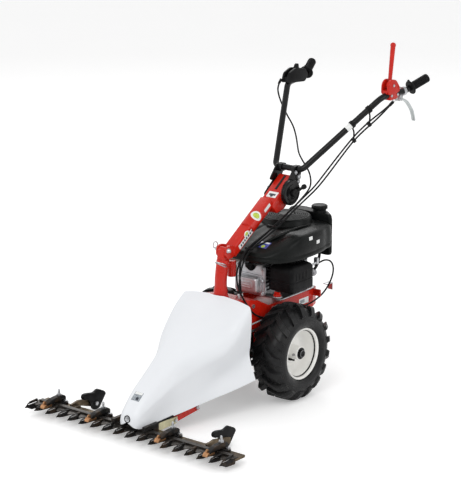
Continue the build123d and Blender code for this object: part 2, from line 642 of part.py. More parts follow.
def controls():
    housing = profile_x([(480, 990), (482, 1028), (500, 1042), (528, 1038), (552, 1008), (548, 974)], 190, 224)
    housing += profile_x([(494, 966), (494, 1000), (545, 1000), (541, 968)], 192, 222)
    housing -= bar_cut()
    housing -= profile_x([(474, 1004), (474, 1060), (580, 1060), (548, 1004)], 195.5, 214)
    housing += rod((190, *LEVER_PIVOT), (224, *LEVER_PIVOT), 4)
    save("lever_housing", housing)
    lever = rod((198, *LEVER_PIVOT), (212, *LEVER_PIVOT), 12)
    lever += rod((205, *LEVER_PIVOT), (201, 535, 1153), 7.5)
    lever += Pos(201, 535, 1154) * Sphere(10)
    lever -= rod((190, *LEVER_PIVOT), (224, *LEVER_PIVOT), 4 + RUN)
    save("blade_lever", lever)
    ear = [(556, 958), (576, 954), (588, 1000), (570, 1002)]
    ears = profile_x(ear, 196, 199.5) + profile_x(ear, 212.5, 216)
    band = rod(along(ARM_BEND, GRIP_BEND, 101), along(ARM_BEND, GRIP_BEND, 113), 15.5)
    bracket = ears + band - bar_cut() + rod((194, *CLUTCH_PIVOT), (218, *CLUTCH_PIVOT), 3.5)
    save("clutch_bracket", bracket)
    blade = pipe([(206, *CLUTCH_PIVOT), (204, 618, 946), (200, 664, 902), (199, 676, 866)], [50, 40], 6)
    blade += rod((200, *CLUTCH_PIVOT), (212, *CLUTCH_PIVOT), 9)
    blade -= rod((190, *CLUTCH_PIVOT), (220, *CLUTCH_PIVOT), 3.5 + RUN)
    save("clutch_lever", blade)
    box = profile_x([(450, 984), (462, 1020), (500, 1034), (556, 1026), (574, 1000), (556, 976)], -222, -190)
    box -= bar_cut_mirror()
    box -= profile_x([(492, 1006), (486, 1040), (560, 1040), (552, 1006)], -213.5, -200.5)
    box += rod((-222, *THROTTLE_PIVOT), (-190, *THROTTLE_PIVOT), 3)
    save("throttle_box", box)
    thumb = rod((-213, *THROTTLE_PIVOT), (-201, *THROTTLE_PIVOT), 12)
    thumb += profile_x([(514, 1028), (520, 1054), (530, 1056), (532, 1024)], -212, -202)
    thumb -= rod((-222, *THROTTLE_PIVOT), (-190, *THROTTLE_PIVOT), 3 + RUN)
    save("throttle_lever", thumb)


def bar_cut_mirror():
    return mirror(bar_cut(), about=Plane.YZ)


# ---- cables ---------------------------------------------------------------------------------------------------
CABLE_R = 3.0
# Each route is a list of places that the cable passes. The upper ones ride on the handlebar,
# the lower ones on the frame; between them the cable bends at the tilt pivot.
CLUTCH_UPPER = [(206, 534, 956), (198, 498, 934), (184, 452, 910), (166, 416, 882), (146, 384, 848)]
CLUTCH_UPPER += [(120, 338, 790), (94, 290, 728), (76, 256, 684)]
BLADE_UPPER = [(216, 520, 958), (208, 484, 932), (194, 446, 902), (174, 410, 872), (154, 376, 838)]
BLADE_UPPER += [(130, 334, 782), (105, 288, 720), (85, 252, 676)]
THROTTLE_UPPER = [(-218, 448, 997), (-222, 432, 975), (-218, 432, 945), (-204, 436, 908), (-180, 436, 872)]
THROTTLE_UPPER += [(-142, 420, 845), (-98, 380, 820), (-54, 330, 800), (-12, 282, 785), (30, 252, 768)]
THROTTLE_UPPER += [(58, 250, 738), (68, 248, 706), (69, 240, 680)]
CLUTCH_LOWER = [(66, 196, 650), (63, 146, 626), (56, 92, 596), (47, 34, 566), (41, -24, 545), (39, -76, 525)]
CLUTCH_LOWER += [(42, -108, 494), (48, -122, 456), (52, -122, 416), (54, -118, 366)]
BLADE_LOWER = [(75, 192, 644), (71, 142, 619), (64, 88, 588), (56, 30, 559), (50, -28, 537), (47, -80, 514)]
BLADE_LOWER += [(50, -112, 478), (55, -130, 438), (58, -136, 400), (56, -138, 370.5)]
THROTTLE_LOWER = [(58, 190, 640), (54, 140, 616), (47, 86, 586), (40, 28, 556), (35, -30, 533), (33, -84, 508)]
THROTTLE_LOWER += [(38, -124, 470), (54, -146, 430), (74, -148, 392), (85, -128, 352), (84, -94, 314)]
THROTTLE_LOWER += [(83.8, -50, 288), (83.6, 10, 276), (83.6, 70, 270), (84, 130, 268), (84.5, 190, 270)]
THROTTLE_LOWER += [(90, 240, 278), (98, 286, 298), (103, 322, 334), (105, 338, 374), (107, 322, 408)]
THROTTLE_LOWER += [(109, 286, 424), (110, 250, 424), (110, 222, 418)]


def fitted_radii(points, diameter):
    """The arc radius at each corner, from the shorter run beside it and the corner's turn."""
    radii = []
    for before, corner, after in zip(points, points[1:], points[2:]):
        first = Vector(*corner) - Vector(*before)
        second = Vector(*after) - Vector(*corner)
        turn = radians(first.get_angle(second))
        radii.append(0.45 * min(first.length, second.length) / (sin(turn / 2) / cos(turn / 2)))
    print("bend radii / diameter:", [round(r / diameter, 1) for r in radii])
    return radii


def cable(points):
    tube = pipe(points, fitted_radii(points, 2 * CABLE_R), CABLE_R)
    ideal = sum((Vector(*b) - Vector(*a)).length for a, b in zip(points, points[1:]))
    print("cable run", round(ideal), "swept length", round(tube.volume / (3.14159 * CABLE_R**2)))
    return tube


def clip(on_bar, held):
    """A rubber strap round the handlebar tube that hangs a pair of cables."""
    axis = Vector(*ARM_BEND) - Vector(*ARM_FOOT)
    reach = axis.normalized() * 7
    centre = Vector(*on_bar)
    band = rod(tuple(centre - reach), tuple(centre + reach), 14.5)
    return band + rod(on_bar, held, 7)


def cables():
    upper = [cable(route) for route in (CLUTCH_UPPER, BLADE_UPPER, THROTTLE_UPPER)]
    lower = [cable(route) for route in (CLUTCH_LOWER, BLADE_LOWER, THROTTLE_LOWER)]
    save("cables_upper", *upper)
    save("cables_lower", *lower)
    clips = clip((149, 372, 895), (150, 381, 838)) + clip((180, 426, 943), (178, 432, 890))
    clips += block((65, 92), (248, 262), (674, 690)) + rod((72, 235, 774), (80, 255, 688), 5)
    clips -= bar_cut()
    for tube in upper:
        clips -= tube
    save("cable_clips", *clips.solids())


def hex_x(x, y, z, side=1):
    return hexagon((x, y, z), (side, 0, 0), 13, 5)


def fasteners():
    """Bolts, studs, pivot bolts and pins that stay with the frame."""
    parts = [disc_x((-52, 52), PIVOT_Y, PIVOT_Z, 6) + disc_x((-52, -46), PIVOT_Y, PIVOT_Z, 11)]
    parts.append(disc_z((54, BEAM_Z[1]), 0, ROCKER_Y, WORM_R) + disc_z((52, 62), 0, ROCKER_Y, 14))
    for pivot, z in ((BLADE_IDLER[0], BLADE_Z), (TRACTION_IDLER[0], TRACTION_Z)):
        low = z[0] - 8
        parts.append(disc_z((low - 6, FLOOR_Z[0]), *pivot, IDLER_PIN_R) + disc_z((low - 6, low - 1), *pivot, 9))
    parts.append(rod((-31, *CLEVIS), (31, *CLEVIS), 5) + rod((22, *CLEVIS), (25, *CLEVIS), 8))
    for spot in ((-480, 39),):
        parts += both(hex_x(67, *spot))
    parts += both(hex_x(63, -366, 51))
    parts += both(hex_x(SKID_X - SKID_HALF, -490, 24, -1))
    for spot in ((-90, 338), (20, 306)):
        parts += both(hex_x(DECK_WIDE, *spot))
    parts.append(rod((0, -646, 74), (0, -641, 74), 6))
    for x in CLAMP_X:
        parts.append(hexagon((x, -591, 64), (0, 0, 1), 15, 6) + rod((x, -591, 70), (x, -591, 80), 4))
        for offset in (-20, 20):
            parts.append(hexagon((x + offset, -580, 42), (0, 0, 1), 13, 6))
    for x in (-67.5, 67.5):
        for y in (146, 231):
            parts.append(hexagon((x, y, 312), (0, 0, 1), 10, 6))
    save("frame_bolts", *parts)


cutter_bar()
knife()
clamps()
skids()
bar_mount()
front_beam()
hood()
deck()
post()
column()
blade_drive()
traction()
idlers()
wheels()
engine()
shroud()
engine_fittings()
handlebar()
yoke()
controls()
cables()
fasteners()
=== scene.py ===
"""Looks of a walk-behind sickle-bar brush mower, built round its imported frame.

Lengths are in millimetres here and turned to metres by piece(). X points to the operator's left,
Y from the cutter bar to the operator, Z up.
"""

import json
import math
import random

import bmesh
import bpy
from mathutils import Matrix, Vector
from mathutils.bvhtree import BVHTree

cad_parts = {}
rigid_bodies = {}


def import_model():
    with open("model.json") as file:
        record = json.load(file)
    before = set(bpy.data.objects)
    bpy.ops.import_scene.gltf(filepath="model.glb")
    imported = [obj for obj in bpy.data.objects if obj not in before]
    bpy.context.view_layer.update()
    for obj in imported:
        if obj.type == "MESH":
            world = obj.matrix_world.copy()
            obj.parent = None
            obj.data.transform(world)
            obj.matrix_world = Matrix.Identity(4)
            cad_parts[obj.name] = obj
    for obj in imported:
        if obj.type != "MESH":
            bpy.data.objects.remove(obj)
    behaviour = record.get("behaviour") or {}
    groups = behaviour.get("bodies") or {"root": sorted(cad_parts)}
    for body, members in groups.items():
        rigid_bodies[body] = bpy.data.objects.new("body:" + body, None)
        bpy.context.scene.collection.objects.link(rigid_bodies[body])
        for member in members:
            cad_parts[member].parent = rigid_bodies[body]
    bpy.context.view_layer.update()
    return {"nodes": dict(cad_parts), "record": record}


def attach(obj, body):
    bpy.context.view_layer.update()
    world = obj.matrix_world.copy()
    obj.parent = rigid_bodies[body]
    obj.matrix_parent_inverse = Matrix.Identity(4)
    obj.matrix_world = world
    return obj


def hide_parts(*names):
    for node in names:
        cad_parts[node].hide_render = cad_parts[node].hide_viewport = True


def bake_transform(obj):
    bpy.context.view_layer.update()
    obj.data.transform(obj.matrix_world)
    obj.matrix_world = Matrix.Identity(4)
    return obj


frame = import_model()
nodes = frame["nodes"]
rng = random.Random(7)

MM = 0.001  # metres in a millimetre
slots = {part["node"]: part["material_slot"] for part in frame["record"]["subparts"]}


# ---- materials --------------------------------------------------------------------------------
def link(tree, a, out, b, into):
    tree.links.new(a.outputs[out], b.inputs[into])


def fill(node, **values):
    """Sets a node's inputs by name, with an underscore for each space."""
    for name, value in values.items():
        node.inputs[name.replace("_", " ")].default_value = value
    return node


def material(
    name, color, rough, metal=0.0, coat=0.0, vary=0.12, scale=60.0, grain=900.0, bump=0.15,
    rough_vary=0.08, edge=0.0, wear=None, wear_amount=0.0, grime=None, grime_amount=0.0,
    sheen=0.0, specular=0.5,
):
    """A procedural finish: mottled colour, uneven gloss, fine grain, rounded edges and wear."""
    mat = bpy.data.materials.new(name)
    mat.use_nodes = True
    mat.diffuse_color = (*color, 1)
    tree = mat.node_tree
    shader = tree.nodes["Principled BSDF"]
    fill(shader, Metallic=metal, Coat_Weight=coat, Coat_Roughness=0.12, Sheen_Weight=sheen)
    fill(shader, Specular_IOR_Level=specular)
    coords = tree.nodes.new("ShaderNodeTexCoord")

    def noise(size, detail=3.0):
        node = fill(tree.nodes.new("ShaderNodeTexNoise"), Scale=size, Detail=detail)
        link(tree, coords, "Object", node, "Vector")
        return node

    def mix(factor, a, b):
        node = tree.nodes.new("ShaderNodeMix")
        node.data_type = "RGBA"
        tree.links.new(factor, node.inputs["Factor"])
        for socket, value in (("A", a), ("B", b)):
            place = [s for s in node.inputs if s.name == socket and s.type == "RGBA"][0]
            if isinstance(value, tuple):
                place.default_value = (*value, 1)
            else:
                tree.links.new(value, place)
        return [s for s in node.outputs if s.type == "RGBA"][0]

    def ramp(source, low, high, to=(0, 1)):
        node = tree.nodes.new("ShaderNodeMapRange")
        fill(node, From_Min=low, From_Max=high, To_Min=to[0], To_Max=to[1])
        tree.links.new(source, node.inputs["Value"])
        return node.outputs["Result"]

    broad = noise(scale)
    dark = tuple(max(0.0, c * (1 - vary)) for c in color)
    light = tuple(min(1.0, c * (1 + vary) + 0.02 * vary) for c in color)
    shade = mix(ramp(broad.outputs["Fac"], 0.3, 0.7), dark, light)
    if grime:
        patch = noise(scale * 0.45, 6.0)
        shade = mix(ramp(patch.outputs["Fac"], 0.5, 0.68, (0, grime_amount)), shade, grime)
    fine = noise(grain, 2.0)
    bump_node = fill(tree.nodes.new("ShaderNodeBump"), Strength=bump, Distance=0.0006)
    link(tree, fine, "Fac", bump_node, "Height")
    if edge:
        bevel = fill(tree.nodes.new("ShaderNodeBevel"), Radius=edge * MM)
        bevel.samples = 4
        link(tree, bevel, "Normal", bump_node, "Normal")
        if wear:
            flat = tree.nodes.new("ShaderNodeNewGeometry")
            dot = tree.nodes.new("ShaderNodeVectorMath")
            dot.operation = "DOT_PRODUCT"
            link(tree, bevel, "Normal", dot, 0)
            link(tree, flat, "Normal", dot, 1)
            worn = ramp(dot.outputs["Value"], 0.97, 0.8, (0, wear_amount))
            shade = mix(worn, shade, wear)
    gloss = noise(scale * 2.2, 4.0)
    uneven = ramp(gloss.outputs["Fac"], 0.3, 0.7, (rough - rough_vary, rough + rough_vary))
    tree.links.new(uneven, shader.inputs["Roughness"])
    tree.links.new(shade, shader.inputs["Base Color"])
    link(tree, bump_node, "Normal", shader, "Normal")
    return mat


RED = (0.56, 0.012, 0.003)
OIL = (0.030, 0.024, 0.018)
finish = {}  # the finish of each material slot


def add(name, *look, **more):
    finish[name] = material(name, *look, **more)


add("red_paint", RED, 0.26, coat=0.25, specular=0.3, vary=0.07, scale=9, grain=420, bump=0.05, edge=1.1,
    wear=(0.3, 0.03, 0.02), wear_amount=0.35, rough_vary=0.05)
add("black_paint", (0.004, 0.004, 0.0045), 0.24, coat=0.3, vary=0.25, scale=14, grain=500, bump=0.05,
    edge=0.9, rough_vary=0.06, specular=0.12)
add("black_casting", (0.016, 0.015, 0.015), 0.42, metal=0.35, vary=0.4, scale=70, grain=520, bump=0.5,
    edge=0.9, wear=(0.16, 0.14, 0.12), wear_amount=0.6, grime=(0.09, 0.055, 0.03), grime_amount=0.5,
    specular=0.12)
add("bar_steel", (0.135, 0.098, 0.058), 0.42, metal=0.75, vary=0.45, scale=45, grain=620, bump=0.35,
    edge=0.8, wear=(0.42, 0.38, 0.3), wear_amount=0.6, grime=OIL, grime_amount=0.75)
add("knife_steel", (0.07, 0.062, 0.055), 0.36, metal=0.85, vary=0.5, scale=60, grain=800, bump=0.25,
    edge=0.5, wear=(0.45, 0.43, 0.4), wear_amount=0.7, grime=OIL, grime_amount=0.8)
add("brass", (0.52, 0.27, 0.13), 0.36, metal=0.85, vary=0.22, scale=90, grain=700, bump=0.25, edge=0.7,
    grime=(0.16, 0.07, 0.03), grime_amount=0.6)
add("zinc", (0.6, 0.61, 0.63), 0.3, metal=0.95, vary=0.1, scale=120, grain=900, bump=0.12, edge=0.6,
    grime=(0.25, 0.24, 0.22), grime_amount=0.4)
add("yellow_zinc", (0.66, 0.62, 0.4), 0.38, metal=0.6, vary=0.14, scale=80, grain=700, bump=0.15,
    edge=0.8, grime=(0.3, 0.25, 0.12), grime_amount=0.35)
add("hood_plastic", (0.84, 0.86, 0.89), 0.42, vary=0.012, scale=6, grain=1500, bump=0.03,
    rough_vary=0.05, coat=0.1)
add("rim_paint", (0.95, 0.94, 0.91), 0.36, coat=0.25, vary=0.04, scale=18, grain=600, bump=0.06,
    grime=(0.72, 0.68, 0.62), grime_amount=0.2)
add("tyre", (0.004, 0.004, 0.0045), 0.34, vary=0.3, scale=30, grain=1100, bump=0.35, rough_vary=0.12,
    sheen=0.04, grime=(0.02, 0.018, 0.017), grime_amount=0.3, specular=0.3)
add("engine_plastic", (0.005, 0.006, 0.0057), 0.32, vary=0.2, scale=22, grain=1600, bump=0.16, edge=0.8,
    coat=0.05, specular=0.12)
add("filter_plastic", (0.005, 0.005, 0.0055), 0.44, vary=0.2, scale=30, grain=1500, bump=0.3, edge=1.2,
    specular=0.12)
add("engine_alloy", (0.25, 0.26, 0.27), 0.45, metal=0.9, vary=0.2, scale=60, grain=900, bump=0.5,
    edge=0.8, grime=(0.05, 0.05, 0.05), grime_amount=0.5)
add("cover_alloy", (0.56, 0.56, 0.58), 0.36, metal=0.85, vary=0.12, scale=50, grain=1000, bump=0.35,
    edge=0.8, grime=(0.24, 0.22, 0.24), grime_amount=0.4)
add("steel", (0.38, 0.38, 0.39), 0.32, metal=0.95, vary=0.15, scale=80, grain=900, bump=0.15, edge=0.6,
    grime=OIL, grime_amount=0.4)
add("muffler_steel", (0.14, 0.12, 0.1), 0.48, metal=0.8, vary=0.35, scale=40, grain=800, bump=0.3,
    edge=0.8, grime=(0.1, 0.05, 0.03), grime_amount=0.5)
add("belt_rubber", (0.008, 0.008, 0.008), 0.62, vary=0.3, scale=60, grain=1400, bump=0.4, specular=0.12)
add("grip_rubber", (0.005, 0.005, 0.0055), 0.48, vary=0.2, scale=40, grain=1500, bump=0.3, sheen=0.03,
    specular=0.12)
add("cable_black", (0.006, 0.006, 0.0065), 0.34, vary=0.2, scale=60, grain=1500, bump=0.1,
    specular=0.12)
add("lever_alloy", (0.62, 0.66, 0.66), 0.34, metal=0.7, vary=0.08, scale=60, grain=900, bump=0.2,
    edge=0.8)
add("red_plastic", (0.56, 0.012, 0.004), 0.3, coat=0.2, specular=0.3, vary=0.08, scale=30, grain=1200,
    bump=0.08, edge=1.0)
add("black_plastic", (0.006, 0.006, 0.0065), 0.36, vary=0.25, scale=40, grain=1400, bump=0.2, edge=0.8,
    specular=0.12)
add("gear_bronze", (0.5, 0.3, 0.12), 0.32, metal=0.9, vary=0.15, scale=70, grain=900, bump=0.15,
    edge=0.6)


def vinyl(name, color, rough, vary, scale):
    return material(name + "_vinyl", color, rough, vary=vary, scale=scale, grain=1500, bump=0.03)


white_vinyl = vinyl("white", (0.86, 0.87, 0.86), 0.35, 0.03, 60)
dark_vinyl = vinyl("dark", (0.03, 0.035, 0.05), 0.30, 0.3, 200)
green_vinyl = vinyl("green", (0.50, 0.62, 0.08), 0.35, 0.35, 180)
blue_vinyl = vinyl("blue", (0.06, 0.08, 0.34), 0.30, 0.5, 120)
grey_vinyl = vinyl("grey", (0.30, 0.33, 0.36), 0.35, 0.6, 260)

for part in frame["record"]["subparts"]:
    cad = nodes[part["node"]]
    cad.data.materials.clear()
    cad.data.materials.append(finish[part["material_slot"]])


# ---- mesh helpers -------------------------------------------------------------------------------
SHARP = 38  # degrees; flatter edges are shaded smooth and get no bevel


def mark_sharp(bm):
    for face in bm.faces:
        face.smooth = True
    for edge in bm.edges:
        if len(edge.link_faces) == 2:
            edge.smooth = edge.calc_face_angle(0) < math.radians(SHARP)


def piece(name, bm, slot, body="chassis", instead=(), mat=None, bevel=0.0):
    """Turns a bmesh in millimetres into a finished object that rides on a body."""
    bmesh.ops.recalc_face_normals(bm, faces=bm.faces)
    mesh = bpy.data.meshes.new(name)
    bmesh.ops.scale(bm, vec=(MM, MM, MM), verts=bm.verts)
    bm.to_mesh(mesh)
    bm.free()
    obj = bpy.data.objects.new(name, mesh)
    bpy.context.scene.collection.objects.link(obj)
    if bevel:
        cut = obj.modifiers.new("bevel", "BEVEL")
        cut.width = bevel * MM
        cut.segments = 3
        cut.limit_method = "ANGLE"
        cut.angle_limit = math.radians(SHARP)
        cut.use_clamp_overlap = True
        graph = bpy.context.evaluated_depsgraph_get()
        obj.data = bpy.data.meshes.new_from_object(obj.evaluated_get(graph))
        obj.modifiers.clear()
    final = bmesh.new()
    final.from_mesh(obj.data)
    mark_sharp(final)
    final.to_mesh(obj.data)
    final.free()
    obj.data.name = name
    obj.data.materials.clear()
    obj.data.materials.append(mat or finish[slot])
    if body:
        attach(obj, body)
    if instead:
        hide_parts(*instead)
    return obj


def loft(sections, cap=True, into=None):
    """Skins a list of closed outlines that have the same number of points."""
    bm = into or bmesh.new()
    rings = [[bm.verts.new(p) for p in section] for section in sections]
    count = len(rings[0])
    for a, b in zip(rings, rings[1:]):
        for i in range(count):
            j = (i + 1) % count
            bm.faces.new((a[i], a[j], b[j], b[i]))
    if cap:
        bm.faces.new(rings[0])
        bm.faces.new(rings[-1])
    return bm


def lathe(profile, place, steps=64, closed=False, into=None):
    """Turns (along, radius) points about a line; place is the matrix of that line's frame."""
    bm = into or bmesh.new()
    rings = []
    for along, radius in profile:
        if radius < 1e-6:
            rings.append([bm.verts.new(place @ Vector((0, 0, along)))])
            continue
        ring = []
        for i in range(steps):
            turn = 2 * math.pi * i / steps
            spot = Vector((radius * math.cos(turn), radius * math.sin(turn), along))
            ring.append(bm.verts.new(place @ spot))
        rings.append(ring)
    pairs = list(zip(rings, rings[1:]))
    if closed:
        pairs.append((rings[-1], rings[0]))
    for a, b in pairs:
        for i in range(steps):
            j = (i + 1) % steps
            if len(a) == 1 and len(b) == 1:
                break
            if len(a) == 1:
                bm.faces.new((a[0], b[i], b[j]))
            elif len(b) == 1:
                bm.faces.new((a[i], a[j], b[0]))
            else:
                bm.faces.new((a[i], a[j], b[j], b[i]))
    return bm


def rod(a, b, radius, place, steps, into=None):
    """A plain cylinder from a to b along a frame's Z."""
    return lathe([(a, 0), (a, radius), (b, radius), (b, 0)], place, steps, into=into)


def facing(origin, direction, roll=0.0):
    """The frame at a point whose Z runs along a direction."""
    turn = Vector(direction).to_track_quat("Z", "Y").to_matrix().to_4x4()
    return Matrix.Translation(Vector(origin)) @ turn @ Matrix.Rotation(math.radians(roll), 4, "Z")


def prism(outline, a, b, place=None, into=None):
    """An outline in a frame's XY plane, run from a to b along its Z."""
    place = place or Matrix.Identity(4)
    bm = into or bmesh.new()
    low = [bm.verts.new(place @ Vector((x, y, a))) for x, y in outline]
    high = [bm.verts.new(place @ Vector((x, y, b))) for x, y in outline]
    bm.faces.new(low)
    bm.faces.new(high)
    for i in range(len(low)):
        j = (i + 1) % len(low)
        bm.faces.new((low[i], low[j], high[j], high[i]))
    return bm


SIDEWAYS = Matrix(((0, 0, 1, 0), (1, 0, 0, 0), (0, 1, 0, 0), (0, 0, 0, 1)))  # (y, z, x)


def side_prism(outline, x0, x1, into=None):
    """A side view outline of (y, z) points, run across the machine from x0 to x1."""
    return prism(outline, x0, x1, SIDEWAYS, into)


def rect(x0, x1, y0, y1):
    return [(x0, y0), (x1, y0), (x1, y1), (x0, y1)]


def block(x, y, z, into=None):
    return prism(rect(*x, *y), *z, None, into)


def rounded(points, corner, steps=5):
    """A closed outline with its corners rounded off."""
    out = []
    count = len(points)
    for i in range(count):
        before, here, after = (Vector(points[k % count]) for k in (i - 1, i, i + 1))
        first, second = (before - here), (after - here)
        reach = min(corner, first.length * 0.45, second.length * 0.45)
        start, end = here + first.normalized() * reach, here + second.normalized() * reach
        for k in range(steps + 1):
            t = k / steps
            out.append(tuple(start * (1 - t) ** 2 + here * 2 * t * (1 - t) + end * t * t))
    return out


def smooth_line(points, steps=6, closed=False):
    """A Catmull-Rom curve through the points."""
    pts = [Vector(p) for p in points]
    count = len(pts)
    spans = count if closed else count - 1
    out = []
    for i in range(spans):
        if closed:
            p0, p1, p2, p3 = (pts[(i + k) % count] for k in (-1, 0, 1, 2))
        else:
            p1, p2 = pts[i], pts[i + 1]
            p0 = pts[i - 1] if i else p1 * 2 - p2
            p3 = pts[i + 2] if i + 2 < count else p2 * 2 - p1
        for k in range(steps):
            t = k / steps
            out.append(
                0.5 * (2 * p1 + (p2 - p0) * t + (2 * p0 - 5 * p1 + 4 * p2 - p3) * t * t
                       + (3 * p1 - p0 - 3 * p2 + p3) * t * t * t)
            )
    if not closed:
        out.append(pts[-1])
    return out


def spline_points(points):
    """The smooth line of a NURBS spline with these control points."""
    curve = bpy.data.curves.new("route", "CURVE")
    curve.dimensions = "3D"
    curve.resolution_u = 8
    spline = curve.splines.new("NURBS")
    spline.points.add(len(points) - 1)
    for point, co in zip(spline.points, points):
        point.co = (*co, 1)
    spline.order_u = 3
    spline.use_endpoint_u = True
    obj = bpy.data.objects.new("route", curve)
    mesh = bpy.data.meshes.new_from_object(obj)
    line = [v.co.copy() for v in mesh.vertices]
    bpy.data.objects.remove(obj)
    return line


def tube(line, radius, sides=16, into=None):
    """A round tube along closely spaced points, with no twist. radius may be a function of 0..1."""
    bm = into or bmesh.new()
    line = [Vector(p) for p in line]
    side = None
    sections = []
    for i, point in enumerate(line):
        ahead = (line[min(i + 1, len(line) - 1)] - line[max(i - 1, 0)]).normalized()
        if side is None:
            side = ahead.orthogonal().normalized()
        side = (side - ahead * side.dot(ahead)).normalized()
        other = ahead.cross(side)
        size = radius(i / (len(line) - 1)) if callable(radius) else radius
        turns = [2 * math.pi * k / sides for k in range(sides)]
        sections.append([point + (side * math.cos(t) + other * math.sin(t)) * size for t in turns])
    return loft(sections, into=bm)


WASHER = 1.6  # thickness of the washers


def hexagon(at, direction, width, height, into=None, washer=0.0):
    """A hexagon bolt head with a chamfered crown, on a washer if asked."""
    place = facing(at, direction, rng.uniform(0, 60))
    bm = into or bmesh.new()
    if washer:
        rod(0, WASHER, washer, place, 32, bm)
    corners = [math.radians(60 * k) for k in range(6)]
    big = width / 2 / math.cos(math.radians(30))
    rings = [(WASHER if washer else 0.0, big), (height * 0.8, big), (height, big * 0.84)]
    sections = [[place @ Vector((r * math.cos(c), r * math.sin(c), z)) for c in corners] for z, r in rings]
    loft(sections, into=bm)
    lathe([(height, 0.01), (height + 0.9, width * 0.24), (height, width * 0.3)], place, 20, into=bm)
    return bm


def merge(*meshes):
    """Several bmeshes in one."""
    out = bmesh.new()
    for bm in meshes:
        temporary = bpy.data.meshes.new("temporary")
        bm.to_mesh(temporary)
        out.from_mesh(temporary)
        bm.free()
        bpy.data.meshes.remove(temporary)
    return out


def mirrored(bm):
    out = bm.copy()
    bmesh.ops.scale(out, vec=(-1, 1, 1), verts=out.verts)
    bmesh.ops.reverse_faces(out, faces=out.faces)
    return out


def both_sides(bm):
    """A bmesh and its mirror image on the machine's other side, as one."""
    pair = merge(bm.copy(), mirrored(bm))
    bm.free()
    return pair


def surface(*objects):
    """A search tree over the shown surface of some objects, in millimetres."""
    verts, faces = [], []
    for obj in objects:
        start = len(verts)
        verts += [v.co * 1000 for v in obj.data.vertices]
        faces += [[start + i for i in p.vertices] for p in obj.data.polygons]
    return BVHTree.FromPolygons(verts, faces)


def decal(name, tree, at, normal, up, size, mat, slot, shape="box", lift=0.35, corner=2.0):
    """A thin label laid on a surface: a box or disc outline seen along the normal."""
    normal = Vector(normal).normalized()
    up = (Vector(up) - normal * Vector(up).dot(normal)).normalized()
    across = up.cross(normal)
    width, height = size
    rings = 7
    bm = bmesh.new()
    if shape == "disc":
        edge = [(math.cos(2 * math.pi * k / 40), math.sin(2 * math.pi * k / 40)) for k in range(40)]
        edge = [(x * width / 2, y * height / 2) for x, y in edge]
    else:
        w, h = width / 2, height / 2
        edge = rounded(rect(-w, w, -h, h), corner, 3)
        dense = []
        for a, b in zip(edge, edge[1:] + edge[:1]):
            parts = max(1, int((Vector(b) - Vector(a)).length / 4))
            dense += [tuple(Vector(a).lerp(Vector(b), k / parts)) for k in range(parts)]
        edge = dense

    def land(x, y):
        start = Vector(at) + across * x + up * y + normal * 40
        spot = tree.ray_cast(start, -normal, 90)[0]
        return (spot if spot else Vector(at) + across * x + up * y) + normal * lift

    centre = bm.verts.new(land(0, 0))
    loops = []
    for r in range(1, rings + 1):
        loops.append([bm.verts.new(land(x * r / rings, y * r / rings)) for x, y in edge])
    count = len(edge)
    for i in range(count):
        j = (i + 1) % count
        bm.faces.new((centre, loops[0][i], loops[0][j]))
        for a, b in zip(loops, loops[1:]):
            bm.faces.new((a[i], b[i], b[j], a[j]))
    rim = [bm.verts.new(v.co - normal * lift * 1.2) for v in loops[-1]]
    for i in range(count):
        j = (i + 1) % count
        bm.faces.new((loops[-1][i], rim[i], rim[j], loops[-1][j]))
    return piece(name, bm, slot, mat=mat)


def stickers(tree, normal, up, slot, rows):
    """Labels on one surface, each as name, place, size, vinyl and any other values of decal()."""
    for name, at, size, mat, more in rows:
        decal(name, tree, at, normal, up, size, mat, slot, **more)


# ---- wheels -------------------------------------------------------------------------------------
AXLE = Vector((0, 26, 165))
WHEEL_X = 153.0
LUGS = 17


def carcass(x):
    """Tyre carcass radius at a distance from the tyre's middle."""
    return 153.5 - 9.0 * (abs(x) / 50) ** 2.6


